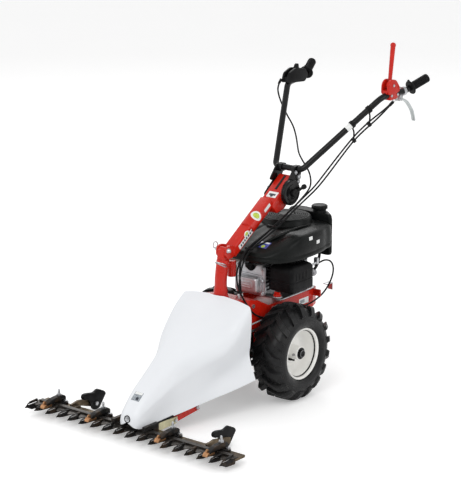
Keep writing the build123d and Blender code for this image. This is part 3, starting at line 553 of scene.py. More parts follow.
def wheel(side):
    name = "left" if side > 0 else "right"
    place = facing((side * WHEEL_X, AXLE.y, AXLE.z), (side, 0, 0))
    half = [(0, 153.5), (18, 153.2), (34, 150.6), (46, 146.2), (55, 138), (61, 126), (63.5, 113)]
    half += [(62, 102), (57, 95), (51.5, 91.5), (49, 90.5), (46, 86), (44, 79)]
    outline = smooth_line([(x, r, 0) for x, r in half], 4)
    outline = [(p.x, p.y) for p in outline]
    inside = [(40, 79), (46, 96), (55, 108), (54, 128), (44, 140), (0, 144)]
    ring = outline + inside
    ring += [(-x, r) for x, r in reversed(inside[:-1])] + [(-x, r) for x, r in reversed(outline[1:])]
    bm = lathe(ring, place, 96, closed=True)
    # moulded rings on the sidewalls
    for edge in (1, -1):
        for x, r in ((62.6, 118), (62.0, 105.5)):
            hoop = [(edge * (x - 1.2), r - 1.6), (edge * (x + 1.0), r), (edge * (x - 1.2), r + 1.6)]
            lathe(hoop, place, 96, closed=True, into=bm)
    for k in range(LUGS):
        for edge in (1, -1):
            turn = 2 * math.pi * (k + (0.5 if edge > 0 else 0.0)) / LUGS
            sections = []
            steps = 9
            for s in range(steps + 1):
                t = s / steps
                reach = -5 + 66 * t  # from just past the middle out over the shoulder
                x = edge * min(reach, 61.5)
                lead = math.radians(19.5) * (t ** 0.85)
                angle = turn + side * lead
                base = carcass(x) - 5 - 10 * max(0.0, t - 0.72)
                over = max(0.0, t - 0.62) / 0.38
                top = 165.0 - 0.4 * (reach / 30) ** 2 - 27 * over ** 2.2
                stand = edge * (1.5 + 2.8 * over)
                wide = math.radians(3.0 + 0.9 * t)
                foot = math.radians(4.3 + 1.1 * t)
                corners = []
                lug = ((-foot, base, 0), (-wide, top, stand), (wide, top, stand), (foot, base, 0))
                for spread, radius, out in lug:
                    a = angle + spread
                    corners.append(place @ Vector((radius * math.cos(a), radius * math.sin(a), x + out)))
                sections.append(corners)
            loft(sections, into=bm)
    piece("tyre_" + name, bm, "tyre", "wheels", ("tyres",))

    # rim: rolled flanges, a deep dish pressed from sheet, and the hub tube
    skin = [(49, 88.2), (51.5, 90), (53.6, 88.2), (53.4, 84.5), (50, 82.4), (45, 81.6), (34, 80.4), (22, 78)]
    skin += [(10, 75.6), (4, 73), (-1, 68), (-2.2, 62), (0.5, 55), (3.2, 48), (3.8, 40), (3.6, 27.5)]
    skin += [(6, 24.8), (12, 24.2), (42.5, 23.8), (44.2, 22.4), (44.2, 13.2), (30, 13.0)]
    back = [(-61, 13.0), (-61, 22), (-58, 24), (-14, 25), (-7, 27.5), (-6, 48), (-7, 62), (-10, 72)]
    back += [(-20, 78), (-34, 80.4), (-45, 81.8), (-50, 83), (-53.2, 85), (-53.2, 88.5), (-51, 90)]
    back += [(-48.8, 88), (-47, 84.8), (-30, 83.4), (0, 81), (30, 83.4), (47, 84.8)]
    bm = lathe(smooth_rim(skin) + back, place, 96, closed=True)
    for k in range(3):  # weld beads that join the hub to the dish
        turn = 2 * math.pi * k / 3 + 0.4
        centre = place @ Vector((26 * math.cos(turn), 26 * math.sin(turn), 4.4))
        spot = facing(centre, (side, 0, 0))
        lathe([(0, 4.0), (1.6, 3.0), (2.2, 0)], spot, 16, into=bm)
    piece("rim_" + name, bm, "rim_paint", "wheels", ("rims",))
    # valve, standing out of the dish beside the hub
    stem = facing((side * (WHEEL_X + 2), AXLE.y - 27, AXLE.z - 19), (side, 0, 0))
    bm = lathe([(0, 7), (3, 6.4), (5, 4.4), (22, 4.2), (24, 3.2), (34, 3.2), (35, 2.4), (35, 0)], stem, 24)
    piece("valve_" + name, bm, "black_plastic", "wheels")
    # hub cap over the axle end, with the washer that holds the wheel
    cap = place @ Matrix.Translation((0, 0, 44.2))
    washer = [(-1, 20.5), (0.8, 20.5), (1.8, 19.4), (1.8, 13.4), (3.2, 12.9), (8, 12.4)]
    bm = lathe(washer + [(8.8, 11.4), (8.8, 0)], cap, 48)
    piece("hub_washer_" + name, bm, "black_paint", "wheels")


def smooth_rim(points):
    """Softens the pressed dish between its flange and hub."""
    line = smooth_line([(x, r, 0) for x, r in points[:16]], 3)
    return [(p.x, p.y) for p in line] + points[16:]


wheel(1)
wheel(-1)


# ---- hood -----------------------------------------------------------------------------------------
# Stations: y, then (half width, height) at the foot, waist, low and high shoulder, corner and crown.
HOOD = [
    (-641, (24, 50), (24, 56), (22, 64), (19, 72), (11, 81), (0, 83)),
    (-632, (38, 46), (39, 58), (37, 70), (32, 82), (18, 94), (0, 96.5)),
    (-608, (52, 47), (50, 66), (46, 84), (41, 101), (24, 120), (0, 124)),
    (-560, (63, 53), (59, 80), (57, 108), (53, 130), (32, 156), (0, 161)),
    (-500, (77, 62), (68, 92), (65, 128), (62, 158), (40, 191), (0, 198)),
    (-440, (90, 70), (80, 108), (74, 150), (71, 184), (50, 226), (0, 234)),
    (-385, (103, 79), (93, 120), (93, 172), (95, 214), (64, 256), (0, 266)),
    (-345, (113, 85), (101, 135), (110, 190), (118, 234), (78, 277), (0, 288)),
    (-310, (124, 91), (108, 146), (128, 206), (137, 252), (90, 296), (0, 309)),
    (-270, (137, 98), (119, 160), (141, 226), (147, 286), (98, 320), (0, 334)),
    (-225, (153, 109), (132, 176), (145, 240), (149, 328), (110, 350), (0, 362)),
    (-185, (168, 120), (142, 196), (146, 250), (148, 354), (116, 377), (0, 387)),
]
HOOD_WALL = 3.0


def hood_section(station):
    y, half = station[0], list(station[1:])
    controls = half + [(-x, z) for x, z in reversed(half[:-1])]
    line = smooth_line([(x, z, 0) for x, z in controls], 8)
    return [Vector((p.x, y, p.y)) for p in line]


def hood():
    rows = [hood_section(s) for s in HOOD]
    count = len(rows[0])
    columns = [smooth_line([row[i] for row in rows], 4) for i in range(count)]
    grid = [[columns[i][k] for i in range(count)] for k in range(len(columns[0]))]
    front = grid[0]
    middle = Vector((0, -645, 64))
    nose = []
    for t in (0.15, 0.45, 0.75):
        nose.append([middle.lerp(p, t) + Vector((0, 2.5 * t * (1 - t), 0)) for p in front])
    grid = nose + grid
    bm = bmesh.new()
    outer = [[bm.verts.new(p) for p in row] for row in grid]
    for a, b in zip(outer, outer[1:]):
        for i in range(count - 1):
            bm.faces.new((a[i], a[i + 1], b[i + 1], b[i]))
    bm.faces.new(outer[0])
    bmesh.ops.recalc_face_normals(bm, faces=bm.faces)
    # notch where the post rises through the rear edge
    near = [v for v in bm.verts if abs(v.co.x) < 29 and v.co.z > 300 and v.co.y > -196]
    for v in near:
        v.co.y = min(v.co.y, -194 + 0.008 * v.co.x ** 2)
    # recess round the front bolt
    for v in bm.verts:
        away = math.hypot(v.co.x, v.co.z - 74)
        if v.co.y < -625 and away < 16:
            v.co.y += 2.5 * (1 - away / 16)
    bmesh.ops.solidify(bm, geom=bm.faces[:], thickness=HOOD_WALL)
    return piece("hood_shell", bm, "hood_plastic", instead=("hood",))


hood_shell = hood()
hood_skin = surface(hood_shell)


def hood_details():
    nose = facing((0, -641.5, 74), (0, -1, 0.12))
    bm = lathe([(-1, 12.5), (0.8, 12.5), (2.0, 11), (0.9, 9.4), (-1, 9), (-1, 0)], nose, 36)
    piece("hood_bolt_recess", bm, "black_plastic")
    bm = hexagon((0, -642, 74), (0, -1, 0.12), 10, 4)
    piece("hood_bolt", bm, "zinc")
    stickers(hood_skin, (0, -0.62, 0.78), (0, 1, 0.6), "hood_plastic", [
        ("hood_badge", (0, -590, 136), (34, 34), grey_vinyl, {"corner": 1.5}),
        ("hood_badge_panel", (0, -581, 144), (30, 9), white_vinyl, {"lift": 0.7, "corner": 1}),
        ("hood_badge_mark", (5, -596, 131), (12, 12), dark_vinyl, {"shape": "disc", "lift": 0.7}),
    ])


hood_details()


# ---- engine ---------------------------------------------------------------------------------------
COWL = [(58, -61), (108, -47), (148, 2), (165, 66), (165, 150), (150, 226), (112, 290)]
COWL += [(-106, 290), (-134, 226), (-137, 170), (-121, 110), (-103, 60), (-96, 8), (-84, -46), (-56, -61)]
# The fan's dome: where its middle lies, and the height and radius of its foot.
DOME_Y = 199.0
DOME_FOOT = 565
DOME_RADIUS = 84


def cowl_outline(inset):
    shrunk = []
    for x, y in COWL:
        depth = inset if y < 0 else -inset * max(0, y - 60) / 200
        shrunk.append((math.copysign(max(abs(x) - inset, 8), x), y + depth, 0))
    return smooth_line(shrunk, 7, closed=True)


def cowl_top(y):
    """Height of the cowl's shoulder: it falls away to the front, under the column."""
    t = min(1.0, max(0.0, (y + 64) / 150))
    return 511 + 49 * t * t * (3 - 2 * t)


def cowl():
    levels = [(5.5, "low", 479.5), (2.0, "low", 480), (0, "low", 484), (0, "low", 492), (1.5, "low", 494.5)]
    levels += [(1.5, "low", 497), (0, "low", 499), (0, "mid", 0.35), (0.6, "mid", 0.7), (2.4, "top", -6.5)]
    levels += [(6, "top", -2.5), (11, "top", -0.4), (18, "top", 0.6), (34, "top", 2.2), (50, "top", 3.0)]
    sections = []
    for inset, kind, value in levels:
        ring = []
        for p in cowl_outline(inset):
            if kind == "low":
                z = min(value, cowl_top(p.y) - 9)
            elif kind == "mid":
                z = 499 + (cowl_top(p.y) - 6.5 - 499) * value
            else:
                z = cowl_top(p.y) + value
            ring.append(Vector((p.x, p.y, z)))
        sections.append(ring)
    last = sections[-1]
    for t in (0.35, 0.7, 1.0):
        ring = []
        for p in last:
            flat = Vector((p.x, p.y - DOME_Y, 0)).normalized() * DOME_RADIUS
            goal = Vector((flat.x, flat.y + DOME_Y, DOME_FOOT))
            ring.append(p.lerp(goal, t))
        sections.append(ring)
    bm = loft(sections, cap=False)
    # under side, closed a little way in
    inner = [Vector((p.x * 0.9, (p.y - 110) * 0.9 + 110, 480.5)) for p in sections[0]]
    loft([inner, sections[0]], cap=False, into=bm)
    loft([[p + Vector((0, 0, 26)) for p in inner], inner], cap=False, into=bm)
    bm.faces.new([bm.verts.new(p + Vector((0, 0, 26))) for p in inner])
    bmesh.ops.remove_doubles(bm, verts=bm.verts, dist=0.01)
    shell = piece("cowl_shell", bm, "engine_plastic", instead=("shroud",))
    # dome: concentric grille rings over the fan
    place = Matrix.Translation((0, DOME_Y, 0))
    profile = [(562, 92), (566, 90), (578, 87.5), (581.5, 85.5), (583, 82.5)]
    radius, height = 80.0, 583.5
    while radius > 30:
        profile += [(height, radius), (height + 2.4, radius - 0.8), (height + 2.4, radius - 4.2)]
        profile += [(height - 2.6, radius - 5.0), (height - 2.6, radius - 6.4)]
        radius -= 7.2
        height += 0.75
    profile += [(height, 28), (height + 2.2, 26), (height + 3.0, 12), (height + 3.0, 0)]
    bm = lathe(profile, place, 96)
    for k in range(8):  # spokes that tie the grille rings together
        turn = math.radians(45 * k + 20)
        spoke = place @ Matrix.Rotation(turn, 4, "Z")
        outline = [(27, -2.2), (81, -3.0), (81, 3.0), (27, 2.2)]
        low = [spoke @ Vector((x, y, 580)) for x, y in outline]
        high = [spoke @ Vector((x, y, 589.5 if x < 50 else 584.6)) for x, y in outline]
        loft([low, high], into=bm)
    piece("cowl_dome", bm, "engine_plastic")
    # ribs that run back from the front of the cowl, one to each side of the dome
    bm = bmesh.new()
    for side, wide in ((1, 1.0), (-1, 0.86)):
        route = [(side * 40, -20, 524), (side * 74 * wide, 40, 549), (side * 96 * wide, 120, 566)]
        route.append((side * 100 * wide, 205, 567))
        line = smooth_line(route, 6)
        tube(line, lambda t: 2.2 + 3.4 * math.sin(math.pi * min(1, t + 0.1)), 12, into=bm)
    piece("cowl_ribs", bm, "engine_plastic")
    return shell


cowl_shell = cowl()


def bolt_set(name, spots, body="chassis"):
    """Several bolt heads: (place, direction, width, height, washer radius)."""
    bm = bmesh.new()
    for at, direction, width, height, washer in spots:
        hexagon(at, direction, width, height, bm, washer)
    return piece(name, bm, "zinc", body)


def engine_details():
    def plate(half, low, high, corner):
        return rounded(rect(-half, half, low, high), corner, 5)

    def slab(bm, outline, y0, y1, shrink=0.0):
        centre = Vector((0, sum(z for _, z in outline) / len(outline)))
        near = [(x * (1 - shrink), centre.y + (z - centre.y) * (1 - shrink)) for x, z in outline]
        loft([[Vector((x, y0, z)) for x, z in outline], [Vector((x, y1, z)) for x, z in near]], into=bm)

    # valve cover: a pressed alloy lid with a raised panel and a flange
    bm = bmesh.new()
    slab(bm, plate(54, 354, 420, 13), -2, -7)
    slab(bm, plate(50, 358, 416, 12), -7, -10)
    slab(bm, plate(50, 358, 416, 12), -10, -27, 0.05)
    slab(bm, plate(47.2, 361, 413, 11), -27, -31, 0.10)
    slab(bm, plate(30, 374, 400, 6), -30, -32.2, 0.06)
    for z in (379, 387, 395):
        slab(bm, plate(22, z - 1.6, z + 1.6, 1.4), -32, -33.2, 0.05)
    piece("valve_lid", bm, "cover_alloy", instead=("valve_cover",), bevel=1.0)
    # head plate with a scallop for the plug
    rim = [(-61, 352), (-54, 345), (54, 345), (61, 352), (61, 446), (54, 453), (26, 453), (20, 440)]
    rim += [(8, 431), (-8, 431), (-20, 440), (-26, 453), (-54, 453), (-61, 446)]
    bm = bmesh.new()
    slab(bm, rounded(rim, 6, 4), 8, 1)
    slab(bm, rounded([(x * 0.94, 400 + (z - 400) * 0.95) for x, z in rim], 6, 4), 1, -2)
    for x in (-52, 52):
        for z in (354, 400, 444):
            lathe([(0, 8), (4, 7.4), (4, 0)], facing((x, -1, z), (0, -1, 0)), 24, into=bm)
    piece("head_plate", bm, "cover_alloy", instead=("cylinder_head",), bevel=1.0)
    spots = [((x, -5, z), (0, -1, 0), 10, 5, 7) for x in (-52, 52) for z in (354, 400, 444)]
    bolt_set("head_bolts", spots)
    # plug boot and its lead
    boot = [(0, 11), (4, 12), (10, 12), (22, 9.5), (30, 8.5), (34, 6), (34, 0)]
    bm = lathe(boot, facing((0, 6, 437), (0, -0.85, 0.5)), 32)
    elbow = [(0, 7), (3, 8), (16, 8), (20, 5), (26, 3.6), (26, 0)]
    lathe(elbow, facing((0, -18, 452), (0.9, 0.25, 0.42)), 24, into=bm)
    piece("plug_boot", bm, "grip_rubber")
    lead = [(22, -13, 462), (34, -9, 470), (48, 2, 474), (58, 22, 476), (62, 50, 478), (62, 80, 484)]
    piece("plug_lead", tube(spline_points(lead), 3.3, 12), "cable_black")

    # air filter: a lid with a split line, moulded ribs and a thumb knob
    def box_ring(x0, x1, y0, y1, z, corner):
        return [Vector((x, y, z)) for x, y in rounded(rect(x0, x1, y0, y1), corner, 5)]

    full = (62, 165, 14, 141)
    split = (63.4, 163.6, 15.4, 139.6)  # the groove where the lid meets the case
    rows = [(66, 160, 18, 137, 369.5), (63, 163.5, 15.5, 139.5, 372), (*full, 376), (*full, 403)]
    rows += [(*split, 404.5), (*split, 406.5), (*full, 408), (*full, 436)]
    rows += [(62.8, 164, 15.5, 140, 446), (66, 160, 20, 136, 454), (74, 152, 28, 128, 458.8)]
    bm = loft([box_ring(x0, x1, y0, y1, z, 14) for x0, x1, y0, y1, z in rows])
    piece("filter_case", bm, "filter_plastic", instead=("air_filter_box",))
    bm = bmesh.new()
    for y in (44, 62, 80, 98):
        ring = rounded(rect(y - 3.4, y + 3.4, 412, 436), 2.6, 3)
        prism(ring, 164.2, 166.0, SIDEWAYS, bm)
    for x in (86, 104, 122):
        ring = rounded(rect(x - 3.2, x + 3.2, 378, 400), 2.4, 3)
        loft([[Vector((px, y, pz)) for px, pz in ring] for y in (15.0, 13.0)], into=bm)
    piece("filter_ribs", bm, "filter_plastic")
    knob = [(0, 13), (6, 13), (7.5, 11.5), (7.5, 5), (9.5, 4.2), (9.5, 0)]
    bm = lathe(knob, facing((113, 78, 457.5), (0, 0, 1)), 24)
    for k in range(6):
        turn = math.radians(60 * k)
        lathe([(0, 3.4), (6.4, 3.2), (7.4, 2.2), (7.4, 0)],
              Matrix.Translation((113 + 13 * math.cos(turn), 78 + 13 * math.sin(turn), 457.5)), 12, into=bm)
    piece("filter_knob", bm, "black_plastic")

    # muffler guard: a pressed box with louvres
    bm = bmesh.new()
    rows = [(-162, -93, 81, 165, 362), (-165, -90, 78, 168, 366)]
    rows += [(-165, -90, 78, 168, 448), (-162, -93, 81, 165, 452)]
    loft([box_ring(*row, 9) for row in rows], into=bm)
    for k in range(6):
        z = 374 + 12 * k
        lip = [(-165, z), (-168.6, z + 2), (-168.6, z + 4.6), (-165, z + 7)]
        loft([[Vector((x, y, h)) for x, h in lip] for y in (90, 156)], into=bm)
    piece("muffler_guard", bm, "muffler_steel", instead=("muffler",), bevel=1.2)
    bm = rod(0, 46, 11, facing((-91, 110, 400), (1, 0, 0)), 32)
    lathe([(0, 17), (3, 17), (3, 11)], facing((-52, 110, 400), (1, 0, 0)), 32, into=bm)
    piece("exhaust_pipe", bm, "muffler_steel")

    # fuel tank: a blow-moulded tank with soft edges and a filler neck
    tank = [(-70, 292), (116, 292), (122, 302), (84, 338), (-36, 345), (-70, 330)]
    middle = Vector((24, 316, 0))
    sections = []
    levels = [(9, 437), (3, 440), (0, 448), (0, 505), (0.8, 508), (0, 511), (0, 566), (3, 577), (9, 583.5)]
    for inset, z in levels:
        ring = []
        for x, y in rounded(tank, 15, 5):
            away = Vector((x, y, 0)) - middle
            ring.append(middle + away * (1 - inset / away.length) + Vector((0, 0, z)))
        sections.append(ring)
    bm = loft(sections)
    cap = Matrix.Translation((56, 315, 0))
    lathe([(580, 0), (580, 24), (590, 23), (592, 21), (592, 0)], cap, 40, into=bm)
    piece("tank_shell", bm, "engine_plastic", instead=("fuel_tank",))
    # fuel cap with a gripped rim
    knob = [(580, 0), (580, 15.6), (592.6, 15.6), (592.6, 26), (594, 27), (604, 27), (606.6, 25)]
    bm = lathe(knob + [(607.6, 20), (607.8, 0)], cap, 48)
    for k in range(14):
        turn = 2 * math.pi * k / 14
        rib = cap @ Matrix.Rotation(turn, 4, "Z")
        outline = [(25.5, -2.6), (28.6, -1.6), (28.6, 1.6), (25.5, 2.6)]
        loft([[rib @ Vector((x, y, z)) for x, y in outline] for z in (593.6, 604.5)], into=bm)
    piece("fuel_cap_knob", bm, "engine_plastic", "fuel_filler", ("fuel_cap",), bevel=0.6)
    # oil cap: a red wing on a pale collar
    cap = Matrix.Translation((100, 19, 0))
    plug = [(344.2, 0), (344.2, 7.8), (352.4, 7.8), (352.4, 13.6), (357, 14), (358.4, 12.6), (358.4, 0)]
    bm = lathe(plug, cap, 40)
    wing = rounded(rect(-12, 12, -3, 3), 2.8, 4)
    prism(wing, 358, 366, cap, bm)
    piece("oil_cap_wing", bm, "red_plastic", "oil_filler", ("oil_cap",), bevel=0.5)
    bm = lathe([(351.8, 11), (351.8, 15.6), (349, 16), (349, 11)], cap, 40, closed=True)
    piece("oil_collar", bm, "cover_alloy")

    # carburettor bits: bowl, linkage plate, hose from the tank
    bm = lathe([(368, 0), (368, 12), (370, 15), (384, 16), (386, 17.5), (389, 17.5), (389, 0)],
               Matrix.Translation((110, 176, 0)), 36)
    block((96, 124), (160, 192), (389, 412), bm)
    for y0, y1, r in ((139, 152, 15.5), (196, 212, 14)):
        rod(0, y1 - y0, r, facing((110, y0, 396), (0, 1, 0)), 32, bm)
    rod(0, 30, 11, facing((64, 176, 396), (1, 0, 0)), 28, bm)
    piece("carburettor_body", bm, "cover_alloy", instead=("carburettor",), bevel=0.9)
    bolts = [((122, y, 412), (0, 0, 1), 7, 3, 0) for y in (164, 188)]
    bolts += [((98, y, 412), (0, 0, 1), 7, 3, 0) for y in (164, 188)]
    bolt_set("carburettor_bolts", bolts)
    bm = side_prism([(168, 414), (176, 432), (206, 436), (210, 430), (184, 424), (180, 412)], 122, 124.5)
    side_prism([(214, 424), (214, 446), (226, 446), (226, 424)], 108, 122, bm)
    piece("throttle_linkage", bm, "zinc", bevel=0.5)
    hose = [(92, 268, 486), (96, 264, 470), (104, 254, 452), (112, 236, 430), (116, 218, 412)]
    hose.append((114, 204, 404))
    piece("fuel_hose", tube(spline_points(hose), 5.0, 16), "cable_black")
    # steel strip between the engine foot and the deck rim
    bm = bmesh.new()
    strip = [(74, 60), (79.4, 60), (79.4, 248), (68, 276), (62, 274), (73, 246)]
    prism(strip, 320.2, 324, None, bm)
    prism([(-x, y) for x, y in reversed(strip)], 320.2, 324, None, bm)
    piece("deck_strip", bm, "zinc", bevel=0.8)


engine_details()


# ---- cutter bar -----------------------------------------------------------------------------------
def octagon(x, half, y, low, high):
    """A bevelled section across a guard finger."""
    rise = high - low
    side = [(0.6, 0), (1, 0.28), (1, 0.72), (0.6, 1)]
    right = [Vector((x + half * a, y, low + rise * b)) for a, b in side]
    left = [Vector((x - half * a, y, low + rise * b)) for a, b in reversed(side)]
    return right + left


def finger(bm, x, half, drop=0, rise=0):
    """A cast guard finger: a nose, a lower body and a lip over the knife's slot."""
    nose = [(-685, 0.12, 29, 31), (-680, 0.22, 28, 33.4), (-675, 0.34, 26.6, 36.4), (-671.5, 0.42, 25.4, 39)]
    body = [(-671.5, 0.44, 25.4, 34.4), (-655, 0.56, 22.5 - drop, 34.4), (-632, 0.66, 20.5 - drop, 34.4)]
    body.append((-613.2, 1, 20 - drop, 34.4))
    lip = [(-671.5, 0.4, 38.2, 39.4), (-660, 0.5, 38.2, 41.5 + rise), (-626, 0.64, 38.2, 43 + rise)]
    foot = [(-613.2, 1, 32.1, 34.4), (-598, 1, 32.1, 34.4)]
    for rows in (nose, body, lip, foot):
        loft([octagon(x, half * share, y, low, high) for y, share, low, high in rows], into=bm)
    lathe([(34, 3.8), (35.2, 3.4), (36, 2.2), (36, 0)], Matrix.Translation((x, -605, 0)), 16, into=bm)


def bar_details():
    bm = bmesh.new()
    for i in range(16):
        finger(bm, -375 + 50 * i, 8)
    for side in (1, -1):
        finger(bm, side * 418.5, 6.5, 6, 4)
    piece("fingers", bm, slots["guard_fingers"], instead=("guard_fingers",))
    arms, shoes = bmesh.new(), bmesh.new()
    for x in (-350, -150, 150, 350):
        side = [(-567, 33), (-567, 56), (-577, 63.5), (-606, 63.5), (-632, 61), (-661, 52), (-661, 46.5)]
        side += [(-602, 46.5), (-595, 43), (-595, 33)]
        side_prism(rounded(side, 4, 3), x - 10, x + 10, arms)
        prism(rounded(rect(x - 23, x + 23, -593, -567), 6, 4), 32.2, 41.6, None, arms)
        tip = [(-674, 38.6), (-634, 38.6), (-634, 45.6), (-660, 45.6), (-660, 51), (-667, 51), (-674, 43)]
        side_prism(rounded(tip, 2.0, 3), x - 9, x + 9, shoes)
        fin = [(-668, 48), (-652, 50), (-655, 58), (-662, 62), (-668, 56)]
        side_prism(rounded(fin, 2.5, 3), x - 2.6, x + 2.6, shoes)
    piece("hold_down_arms", arms, slots["clamp_arms"], instead=("clamp_arms",), bevel=1.4)
    piece("hold_down_shoes", shoes, slots["clamp_shoes"], instead=("clamp_shoes",), bevel=0.9)
    studs = bmesh.new()
    for x in (-350, -150, 150, 350):
        lathe([(68, 4), (82, 4), (86, 2.4), (87, 0)], Matrix.Translation((x, -591, 0)), 16, into=studs)
    piece("hold_down_studs", studs, "zinc")
    runner = [(-500, 1), (-474, 1), (-438, 46), (-446, 56), (-476, 71), (-496, 62), (-530, 69)]
    runner += [(-547, 69), (-553, 60), (-547, 49), (-524, 46), (-510, 26)]
    bm = side_prism(rounded(runner, 9, 5), 275.4, 288.6)
    piece("skid_runners", both_sides(bm), slots["skid_shoes"], instead=("skid_shoes",), bevel=2.0)


bar_details()


# ---- post and column --------------------------------------------------------------------------------
CLEVIS = Vector((0, -150, 534))
FOOT = Vector((0, -130, 509.7))
HEAD = Vector((0, 90, 655))
PIVOT = Vector((0, 164, 678))


def column_frame():
    """The frame whose Z runs up the column and whose Y stands square to its top face."""
    run = (HEAD - FOOT).normalized()
    rise = Vector((0, -run.z, run.y))
    turn = Matrix((Vector((-1, 0, 0)), rise, run)).transposed().to_4x4()
    return Matrix.Translation(FOOT) @ turn


COLUMN = column_frame()


def toothed(radius, teeth, depth):
    """A disc outline with square teeth, centred on the tilt pivot, as (y, z) points."""
    out = []
    for k in range(teeth):
        for part, reach in ((0, radius), (0.5, radius), (0.5, radius - depth), (1, radius - depth)):
            turn = 2 * math.pi * (k + part) / teeth
            out.append((PIVOT.y + reach * math.cos(turn), PIVOT.z + reach * math.sin(turn)))
    return out


def post_and_column():
    line = spline_points([(0, -164, 372.4), (0, -163, 400), (0, -162, 440), (0, -157, 470), (0, -152, 500)])
    bm = tube(line, lambda t: 25.4 - 4.6 * min(1, t / 0.3), 40)
    tongue = [(-168, 490), (-161, 538), (-151, 546), (-140, 540), (-134, 490)]
    side_prism(rounded(tongue, 4, 4), -13.8, 13.8, bm)
    tube([(0, -104, 433), (0, -104, 488)], 14.6, 32, into=bm)
    side_prism(rect(-140, -112, 466, 484), -9, 9, bm)
    piece("post_weldment", bm, slots["post"], instead=("post",), bevel=1.2)
    weld = lathe([(372.5, 28.5), (376, 27.4), (379, 25)], Matrix.Translation((0, -164, 0)), 48)
    piece("post_weld", weld, slots["post"])

    bm = prism(rounded(rect(-22, 22, -18.5, 18.5), 7, 5), 16, 262, COLUMN)
    fork = [(-163, 520), (-159, 545), (-142, 551), (-112, 544), (-96, 520), (-128, 504), (-151, 505)]
    for side in (1, -1):
        side_prism(rounded(fork, 7, 5), side * 14.6, side * 21.8, bm)
    piece("column_box", bm, slots["column"], instead=("column",), bevel=1.0)
    bm = lathe([(129, 0), (129, 24), (131, 26.6), (195, 26.6), (197, 24), (197, 0)], COLUMN, 56)
    piece("column_sleeve", bm, slots["column"])
    head = [(84, 636), (88, 654), (199, 731), (206, 712), (204, 690), (188, 662), (150, 622), (104, 612)]
    bm = side_prism(rounded(head, 9, 5), -30, 30)
    piece("column_head", bm, slots["column"], bevel=3.0)
    # a black strip along the top of the solid head: painted shade where the dark inside of the slot would be
    slot = [(136, 686.3), (136, 688.6), (190, 726.0), (190, 723.7)]
    piece("column_slot_painted_shade", side_prism(slot, -4.5, 4.5), "black_paint")
    piece("ratchet_disc", side_prism(toothed(45, 40, 2.2), 30.1, 34.9), slots["column"], bevel=0.4)
    # clevis pin with its ring, and the bent wire that guides the cables
    bm = rod(-31, 31, 5, facing(CLEVIS, (1, 0, 0)), 24)
    for side in (1, -1):
        end = facing(CLEVIS, (side, 0, 0))
        lathe([(22, 0), (22, 9), (25.4, 8.4), (31, 5.6), (31.6, 0)], end, 28, into=bm)
    piece("clevis_pin", bm, "zinc")
    ring = []
    for a in range(0, 361, 20):
        turn = math.radians(a)
        ring.append((-33.5 + 2 * math.cos(turn), -150 + 9 * math.cos(turn), 546 + 11 * math.sin(turn)))
    piece("clevis_ring", tube(ring, 1.7, 10), "zinc")
    guide = [(30, -168, 484), (44, -186, 494), (50, -206, 506), (40, -222, 512), (24, -222, 512)]
    guide += [(18, -208, 504), (24, -186, 492), (27, -172, 484)]
    piece("wire_guide", tube(spline_points(guide), 2.2, 10), "zinc")


post_and_column()


# ---- handlebar ------------------------------------------------------------------------------------------
GRIP_BEND = Vector((221, 592, 990))
GRIP_END = Vector((250.7, 674, 1024.4))
ARM_FOOT = Vector((57, 209, 750.5))
ARM_BEND = Vector((205, 470, 983))


def yoke():
    side = [(150, 714), (190, 763), (224, 764), (231, 738), (204, 694)]
    bm = side_prism(rounded(side, 10, 5), 35.5, 41)
    side_prism(rounded(side, 10, 5), -41, -35.5, bm)
    plain = [(118, 668), (206, 738), (214, 700), (150, 640)]
    side_prism(rounded(plain, 12, 5), -41, -35.6, bm)
    for x0, x1 in ((22, 41), (-41, -22)):
        side_prism(rounded(rect(193, 227, 735, 763), 11, 5), x0, x1, bm)
    piece("yoke_plates", bm, slots["handlebar_yoke"], "handles", ("handlebar_yoke",), bevel=1.4)
    bm = side_prism(toothed(45, 40, 2.2), 35.4, 42)
    place = facing(PIVOT, (1, 0, 0))
    drum = [(42, 43.4), (43.5, 44.6), (49, 44.6), (52, 42), (52, 30), (50.6, 28), (50.6, 17)]
    lathe(drum + [(52, 15), (52, 7)], place, 64, into=bm)
    piece("yoke_ratchet", bm, slots["handlebar_yoke"], "handles", bevel=0.4)
    knob = lathe([(52.5, 0), (52.5, 13), (54, 14), (62.5, 14), (64.5, 12), (64.5, 0)], place, 40)
    tube([(58.5, 164, 678), (58.5, 214, 688)], lambda t: 6.4 - 1.6 * t, 20, into=knob)
    end = facing((58.5, 211, 687.4), (0, 1, 0.2))
    lathe([(0, 4.6), (3, 8), (9, 9.2), (14, 8.6), (17.4, 5.5), (18, 0)], end, 32, into=knob)
    piece("lock_knob", knob, slots["lock_lever"], "tilt_lock", ("lock_lever",))
    spots = [((41, 214, 722), (1, 0, 0), 12, 5, 9), ((41, 196, 742), (1, 0, 0), 10, 4, 7.5)]
    spots += [((-41, 211, 724), (-1, 0, 0), 12, 5, 9), ((41, 212, 706), (1, 0, 0), 10, 4, 7)]
    bolt_set("yoke_bolts", spots, body="handles")


def grips():
    profile = [(17.5, 11), (17.5, 23.6), (19, 25), (22.5, 25), (24.4, 23.2), (25.6, 17.4), (28, 15.8)]
    for k in range(14):
        rib = 31 + 4.4 * k
        profile += [(rib, 15.5), (rib + 0.7, 14.5), (rib + 2.4, 14.5), (rib + 3.1, 15.5)]
    profile += [(94, 15.5), (96.6, 14.4), (97.8, 12), (97.8, 0)]
    bm = lathe(profile, facing(GRIP_BEND, GRIP_END - GRIP_BEND), 48)
    tab = facing(GRIP_BEND + (GRIP_END - GRIP_BEND).normalized() * 20, GRIP_END - GRIP_BEND)
    prism(rounded([(-5, 20), (5, 20), (4, 30), (-4, 30)], 2, 3), -2, 2.4, tab, bm)
    piece("ribbed_grips", both_sides(bm), slots["grips"], "handles", ("grips",))


